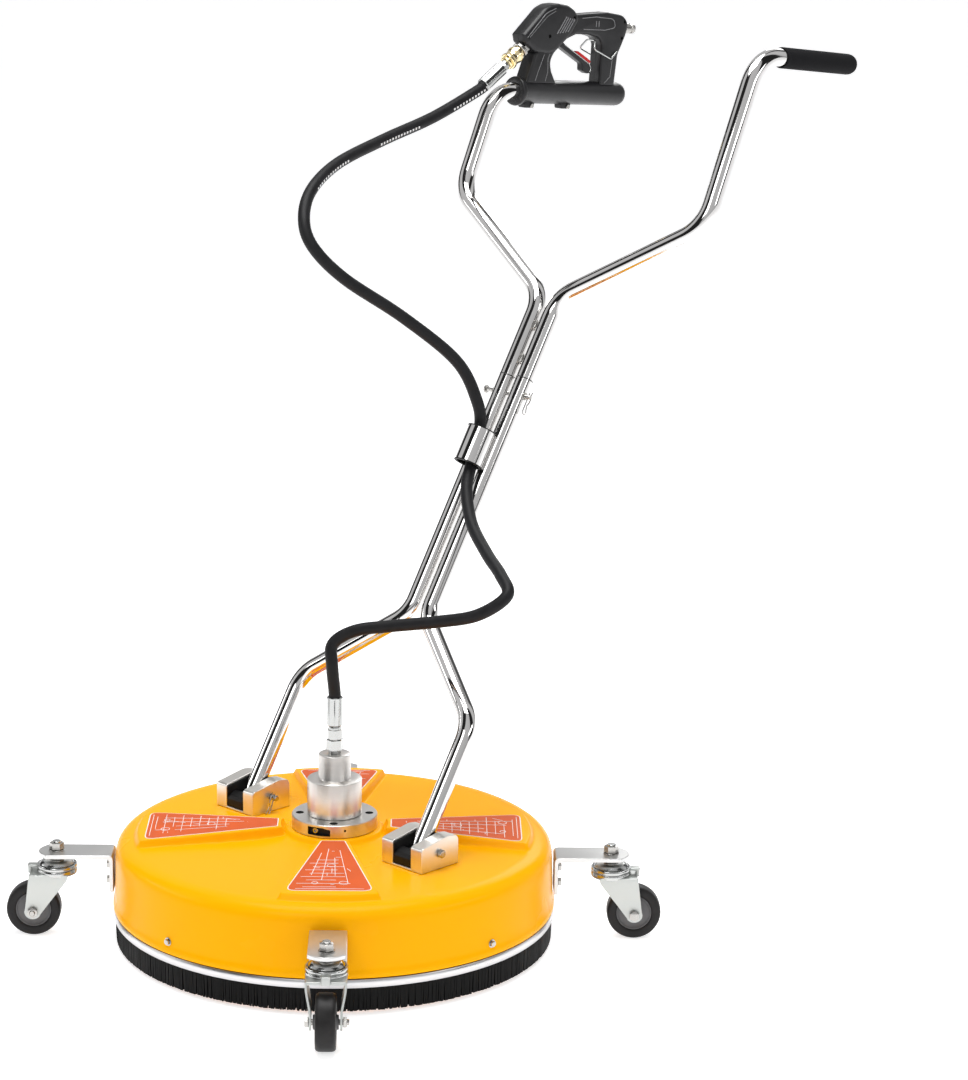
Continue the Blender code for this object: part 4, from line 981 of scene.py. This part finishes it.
line_path = filleted([outlet(0.0005), in_gun(0.062, 0.1043), in_gun(0.227, 0.0998)], [0.02], 6)
inlet = facing(in_gun(0.225, 0.0998), BACK)
inlet_profile = mm((4.8, 10), (4.8, 22.8), (7.6, 22.8), (8, 22.2), (8, 17), (6.6, 16), (6.6, 12.8),
                   (8, 11.8), (8, 2), (0, 2), (0, 10))
chamber = facing(in_gun(0.0262, 0.0782), in_gun(0.062, 0.1043) - in_gun(0.0262, 0.0782))
valve = [(rod(line_path, 0.006, 24), BOLT),
         (lathe(disc_profile(0.0119, 0.0, 0.036, 0.001), chamber, 32), BRASS),
         (lathe(inlet_profile, inlet, 48), BOLT)]
piece("valve_line", "handle", ["gun_valve"], valve)

lever = GUN @ Matrix.Translation((*TRIGGER_PIVOT, 0)) @ Matrix.Rotation(radians(-24.7), 4, "Z")
lever_shape = rounded(mm((-8, 5.5), (10, 6), (24, 3.5), (88, 3), (96, 0), (96, -8.5), (90, -12),
                         (78, -12.5), (73, -4), (20, -4), (-4, -7)), 0.003, 3)
cross = drum(0.003, -0.0125, 0.0125, facing(in_gun(*TRIGGER_PIVOT), (1, 0, 0)))
RAIL = mm((22, 3), (86, 2.6), (93.5, -1), (93.5, -7.5))
edges = []
for side in (1, -1):
    rail = filleted(laid(RAIL, side * 0.0056, lever), [0.003, 0.004], 3)
    edges.append((rod(rail, 0.0007, 8), ZINC))
piece("trigger_lever", "trigger", ["trigger"],
      [(pillow(lever_shape, -0.006, 0.006, 0.0012, lever, 3, True), BLACK), (cross, BOLT)] + edges)
latch_shape = rounded(mm((52, 4), (87, 3.5), (90, 7), (86, 8.5), (56, 8.5), (52, 7)), 0.0015, 3)
latch_ribs = []
for k in range(6):
    rib = [lever @ Vector((0.062 + 0.004 * k, 0.0086, z)) for z in (-0.004, 0.004)]
    latch_ribs.append((rod(rib, 0.0005, 8), RED))
piece("latch_tab", "latch", ["trigger_latch"],
      [(pillow(latch_shape, -0.005, 0.005, 0.0008, lever, 3, True), RED)] + latch_ribs)

WIRE_X = 0.0155
half_bail = [(0.2, 0.0655, 0.0105), (0.2, 0.0655, WIRE_X), (0.187, 0.053, WIRE_X),
             (0.148, 0.0665, WIRE_X), (0.156, 0.08, 0.008)]
bail = [in_gun(b, h, x) for b, h, x in half_bail] + [in_gun(b, h, -x) for b, h, x in half_bail[::-1]]
bail = filleted(bail, [0.002, 0.004, 0.004, 0.004, 0.004, 0.004, 0.004, 0.002], 5)
piece("bail_wire", "bail", ["trigger_bail"], [(rod(bail, 0.0013, 12), ZINC)])

# ---------------------------------------------------------------- coupler and hose ends
line = facing(outlet(0), AWAY)
nut = mm((6.4, 11.5), (9.8, 11.5), (11.2, 12.2), (12.5, 13.2), (12.5, 17.2), (11.7, 18), (10.4, 18.4),
         (6.4, 18.4))
coupler = mm((3.5, 18.6), (9.8, 19), (9.8, 49), (9, 50), (6.7, 50), (6.7, 30), (3.5, 30))
piece("coupler_core", "handle", ["coupler_body"],
      [(lathe(coupler, line, 64), BRASS), (lathe(nut, line, 64), BOLT),
       (hex_bar(0.0165, 0.002, 0.0114, line), BOLT)])
collar = mm((10.1, 24), (12, 24), (12.8, 24.8), (12.8, 29.2), (12, 30.4), (11.5, 33), (11.5, 37),
            (12, 39.4), (12.8, 40.6), (12.8, 44.2), (12, 45), (10.1, 45))
knurls = []
for k in range(36):
    out = line @ Matrix.Rotation(2 * pi * k / 36, 4, "Z")
    for low, high in ((0.0252, 0.0288), (0.041, 0.0438)):
        knurls.append((box((0.0126, -0.0003, low), (0.013, 0.0003, high), out), BRASS))
piece("coupler_collar", "collar", ["coupler_sleeve"], [(lathe(collar, line, 64), BRASS)] + knurls)


def ferrule(low, high, outer, frame):
    """A crimped sleeve: flat lengthwise strips between shallow grooves."""
    turns = [2 * pi * k / 96 for k in range(96)]
    rings = []
    for z, r in ((low, outer - 0.0012), (low + 0.0012, outer), (high - 0.001, outer), (high, outer - 0.0008)):
        rings.append([(r - 0.00045 if k % 12 == 0 else r, turn, z) for k, turn in enumerate(turns)])
    rings += [[(0.009, turn, z) for turn in turns] for z in (high, low + 0.006)]
    return stacked([[frame @ Vector((r * cos(a), r * sin(a), z)) for r, a, z in ring] for ring in rings])


plug = mm((3, 33), (6, 33), (6.4, 34), (6.4, 52), (8, 52.4), (8, 56), (7.4, 56.5), (7.4, 62), (3, 62))
piece("gun_hose_end", "handle", ["hose_end_gun"],
      [(lathe(plug, line, 48), ZINC), (hex_bar(0.015, 0.056, 0.0612, line), ZINC),
       (ferrule(0.0612, 0.106, 0.0105, line), ZINC)])
stub = mm((3, 242), (6.2, 242), (6.2, 263.8), (8.5, 264), (8.8, 268.6), (8.8, 269.2), (8.8, 298),
          (8.8, 302.5), (8, 304), (3, 304))
piece("hub_hose_end", "deck", ["hose_end_hub"],
      [(lathe(stub, IDENTITY, 48), ZINC), (hex_bar(0.0212, 0.2688, 0.2838, IDENTITY, 0.0014), ZINC),
       (hex_bar(0.019, 0.2848, 0.2982, Matrix.Rotation(0.4, 4, "Z"), 0.0012), ZINC),
       (ferrule(0.3035, 0.344, 0.011, IDENTITY), ZINC)])


# ---------------------------------------------------------------- hose
def curve_through(points, steps):
    """A smooth curve that passes through every point."""
    points = [Vector(p) for p in points]
    ends = [points[0] * 2 - points[1]] + points + [points[-1] * 2 - points[-2]]
    path = []
    for p0, p1, p2, p3 in zip(ends, ends[1:], ends[2:], ends[3:]):
        for k in range(steps):
            t = k / steps
            path.append(0.5 * (2 * p1 + (p2 - p0) * t + (2 * p0 - 5 * p1 + 4 * p2 - p3) * t * t
                               + (3 * p1 - p0 - 3 * p2 + p3) * t ** 3))
    return path + [points[-1]]


ROUTE = [
    (0, 0, 0.3185), (0, 0, 0.346), (0.0, 0.005, 0.388), (0.003, 0.001, 0.418), (-0.018, -0.02, 0.437),
    (-0.06, -0.046, 0.447), (-0.122, -0.075, 0.46), (-0.176, -0.097, 0.476), (-0.203, -0.125, 0.503),
    (-0.173, -0.144, 0.522), (-0.13, -0.162, 0.54), (-0.073, -0.19, 0.568), (-0.027, -0.226, 0.602),
    on_handle(-0.008, GUIDE_V - 0.028, GUIDE_OFF - 0.003), on_handle(0.0, GUIDE_V + 0.028, GUIDE_OFF + 0.001),
    (0.005, -0.277, 0.719), (0.023, -0.254, 0.775), (0.063, -0.19, 0.838), (0.107, -0.12, 0.894),
    (0.136, -0.088, 0.937), (0.158, -0.09, 0.972), (0.184, -0.127, 1.007), (0.205, -0.197, 1.037),
    (0.222, -0.305, 1.061), (0.232, -0.415, 1.084), outlet(0.118), outlet(0.1045), outlet(0.0705),
]
hose_path = curve_through(ROUTE, 10)


def hose_material():
    """Black cover with a broken line of small plain marks along it."""
    m = surface("hose_cover", (0.008, 0.008, 0.009), 0.0, 0.5, 0.25, 60, bump=0.2, grain=900, shine=0.2)
    tree, link = m.node_tree, m.node_tree.links.new
    base = tree.nodes["Principled BSDF"].inputs["Base Color"]
    plain = base.links[0].from_socket
    split = add_node(tree, "SeparateXYZ")
    link(add_node(tree, "UVMap").outputs["UV"], split.inputs["Vector"])

    def maths(operation, a, b):
        node = add_node(tree, "Math")
        node.operation = operation
        for socket, value in zip(node.inputs, (a, b)):
            if isinstance(value, (int, float)):
                socket.default_value = value
            else:
                link(value, socket)
        return node.outputs["Value"]

    along, around = split.outputs["X"], split.outputs["Y"]
    block = maths("LESS_THAN", maths("FRACT", maths("MULTIPLY", along, 6.0), 0), 0.55)
    mark = maths("LESS_THAN", maths("FRACT", maths("MULTIPLY", along, 150.0), 0), 0.5)
    side = maths("LESS_THAN", maths("ABSOLUTE", maths("SUBTRACT", around, 0.5), 0), 0.032)
    mix = add_node(tree, "Mix")
    mix.data_type = "RGBA"
    link(maths("MULTIPLY", maths("MULTIPLY", block, mark), side), mix.inputs["Factor"])
    link(plain, mix.inputs["A"])
    mix.inputs["B"].default_value = (0.8, 0.8, 0.8, 1)
    link(mix.outputs["Result"], base)
    return m


def hose():
    segments = 24
    rings = rings_along(hose_path, [HOSE_R] * len(hose_path), segments)
    mesh = mesh_of([(stacked(rings), hose_material())])
    mesh.shade_smooth()
    uv = mesh.uv_layers.new(name="along")
    lengths = [0.0]
    for a, b in zip(hose_path, hose_path[1:]):
        lengths.append(lengths[-1] + (b - a).length)
    for polygon in mesh.polygons:
        seam = {mesh.loops[i].vertex_index % segments for i in polygon.loop_indices}
        wraps = 0 in seam and segments - 1 in seam and len(seam) == 2
        for i in polygon.loop_indices:
            k = mesh.loops[i].vertex_index
            turn = k % segments
            share = 1.0 if wraps and turn == 0 else turn / segments
            uv.data[i].uv = (lengths[k // segments], share)
    obj = bpy.data.objects.new("pressure_hose", mesh)
    scene.collection.objects.link(obj)
    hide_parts("hose")
    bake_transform(obj)


hose()

# ---------------------------------------------------------------- floor and light
floor_mesh = bpy.data.meshes.new("floor")
floor_mesh.from_pydata([(-60, -60, 0), (60, -60, 0), (60, 60, 0), (-60, 60, 0)], [], [(0, 1, 2, 3)])
pale = surface("pale_floor", (0.8, 0.8, 0.81), rough=0.6, vary=0.01, scale=3)
glow = pale.node_tree.nodes["Principled BSDF"]
glow.inputs["Emission Color"].default_value = (1, 1, 1, 1)
glow.inputs["Emission Strength"].default_value = 0.68
floor_mesh.materials.append(pale)
floor = bpy.data.objects.new("floor", floor_mesh)
scene.collection.objects.link(floor)

world = bpy.data.worlds.new("studio")
scene.world = world
world.use_nodes = True
sky, link = world.node_tree, world.node_tree.links.new


def grey_ramp(steps, blue=1.0):
    """A colour ramp of (position, grey) steps, its blue scaled."""
    node = add_node(sky, "ValToRGB")
    elements = node.color_ramp.elements
    elements[0].position, elements[1].position = steps[0][0], steps[-1][0]
    for position, _ in steps[1:-1]:
        elements.new(position)
    for element, (position, grey) in zip(elements, steps):
        element.position = position
        element.color = (grey, grey, grey * blue, 1)
    return node


# what is reflected: paler upwards, crossed by dark and light cards all round; the camera sees plain white
direction = add_node(sky, "SeparateXYZ")
link(add_node(sky, "TexCoord").outputs["Generated"], direction.inputs["Vector"])
upwards = grey_ramp([(0.0, 0.8), (0.47, 0.85), (0.52, 0.9), (0.62, 0.95), (0.8, 1.0), (1.0, 1.0)], 1.01)
height = add_node(sky, "MapRange", From_Min=-1.0)
link(direction.outputs["Z"], height.inputs["Value"])
link(height.outputs["Result"], upwards.inputs["Fac"])
turn = add_node(sky, "Math")
turn.operation = "ARCTAN2"
link(direction.outputs["Y"], turn.inputs[0])
link(direction.outputs["X"], turn.inputs[1])
share = add_node(sky, "MapRange", From_Min=-pi, From_Max=pi)
link(turn.outputs["Value"], share.inputs["Value"])
CARDS = ((0.0, 0.03, 0.9), (0.04, 0.14, 0.0), (0.15, 0.23, 1.0), (0.24, 0.28, 0.1), (0.29, 0.47, 0.9),
         (0.48, 0.54, 0.0), (0.55, 0.65, 1.0), (0.66, 0.8, 0.0))
card_edges = [(position, grey) for start, end, grey in CARDS for position in (start, end)]
cards = grey_ramp(card_edges + [(0.81, 1.0), (1.0, 0.9)])
link(share.outputs["Result"], cards.inputs["Fac"])
crossed = add_node(sky, "Mix")
crossed.data_type, crossed.blend_type = "RGBA", "MULTIPLY"
crossed.inputs["Factor"].default_value = 0.97
link(upwards.outputs["Color"], crossed.inputs["A"])
link(cards.outputs["Color"], crossed.inputs["B"])
back = sky.nodes["Background"]
link(crossed.outputs["Result"], back.inputs["Color"])
back.inputs["Strength"].default_value = 0.62
seen = add_node(sky, "Background", Color=(1, 1, 1, 1), Strength=1.0)
pick = add_node(sky, "MixShader")
link(add_node(sky, "LightPath").outputs["Is Camera Ray"], pick.inputs["Fac"])
link(back.outputs["Background"], pick.inputs[1])
link(seen.outputs["Background"], pick.inputs[2])
link(pick.outputs["Shader"], sky.nodes["World Output"].inputs["Surface"])


def softbox(name, at, size, power, tall=None):
    """A rectangular lamp that faces the middle of the object."""
    data = bpy.data.lights.new(name, "AREA")
    data.shape = "RECTANGLE"
    data.size, data.size_y = size, tall or size
    data.energy = power
    light = bpy.data.objects.new(name, data)
    light.matrix_world = facing(at, Vector(at) - Vector((0, 0, 0.5)))
    scene.collection.objects.link(light)


softbox("key", (-1.2, 3.4, 3.0), 1.5, 27)
softbox("left_strip", (2.8, 2.6, 1.6), 0.5, 16, 2.4)
softbox("right_strip", (-3.4, -1.2, 1.7), 0.5, 18, 2.4)
softbox("top", (0.2, 0.2, 3.6), 2.2, 104)
softbox("rear", (1.6, -3.2, 2.2), 1.4, 20)
scene.view_settings.view_transform = "Standard"
scene.view_settings.look = "None"
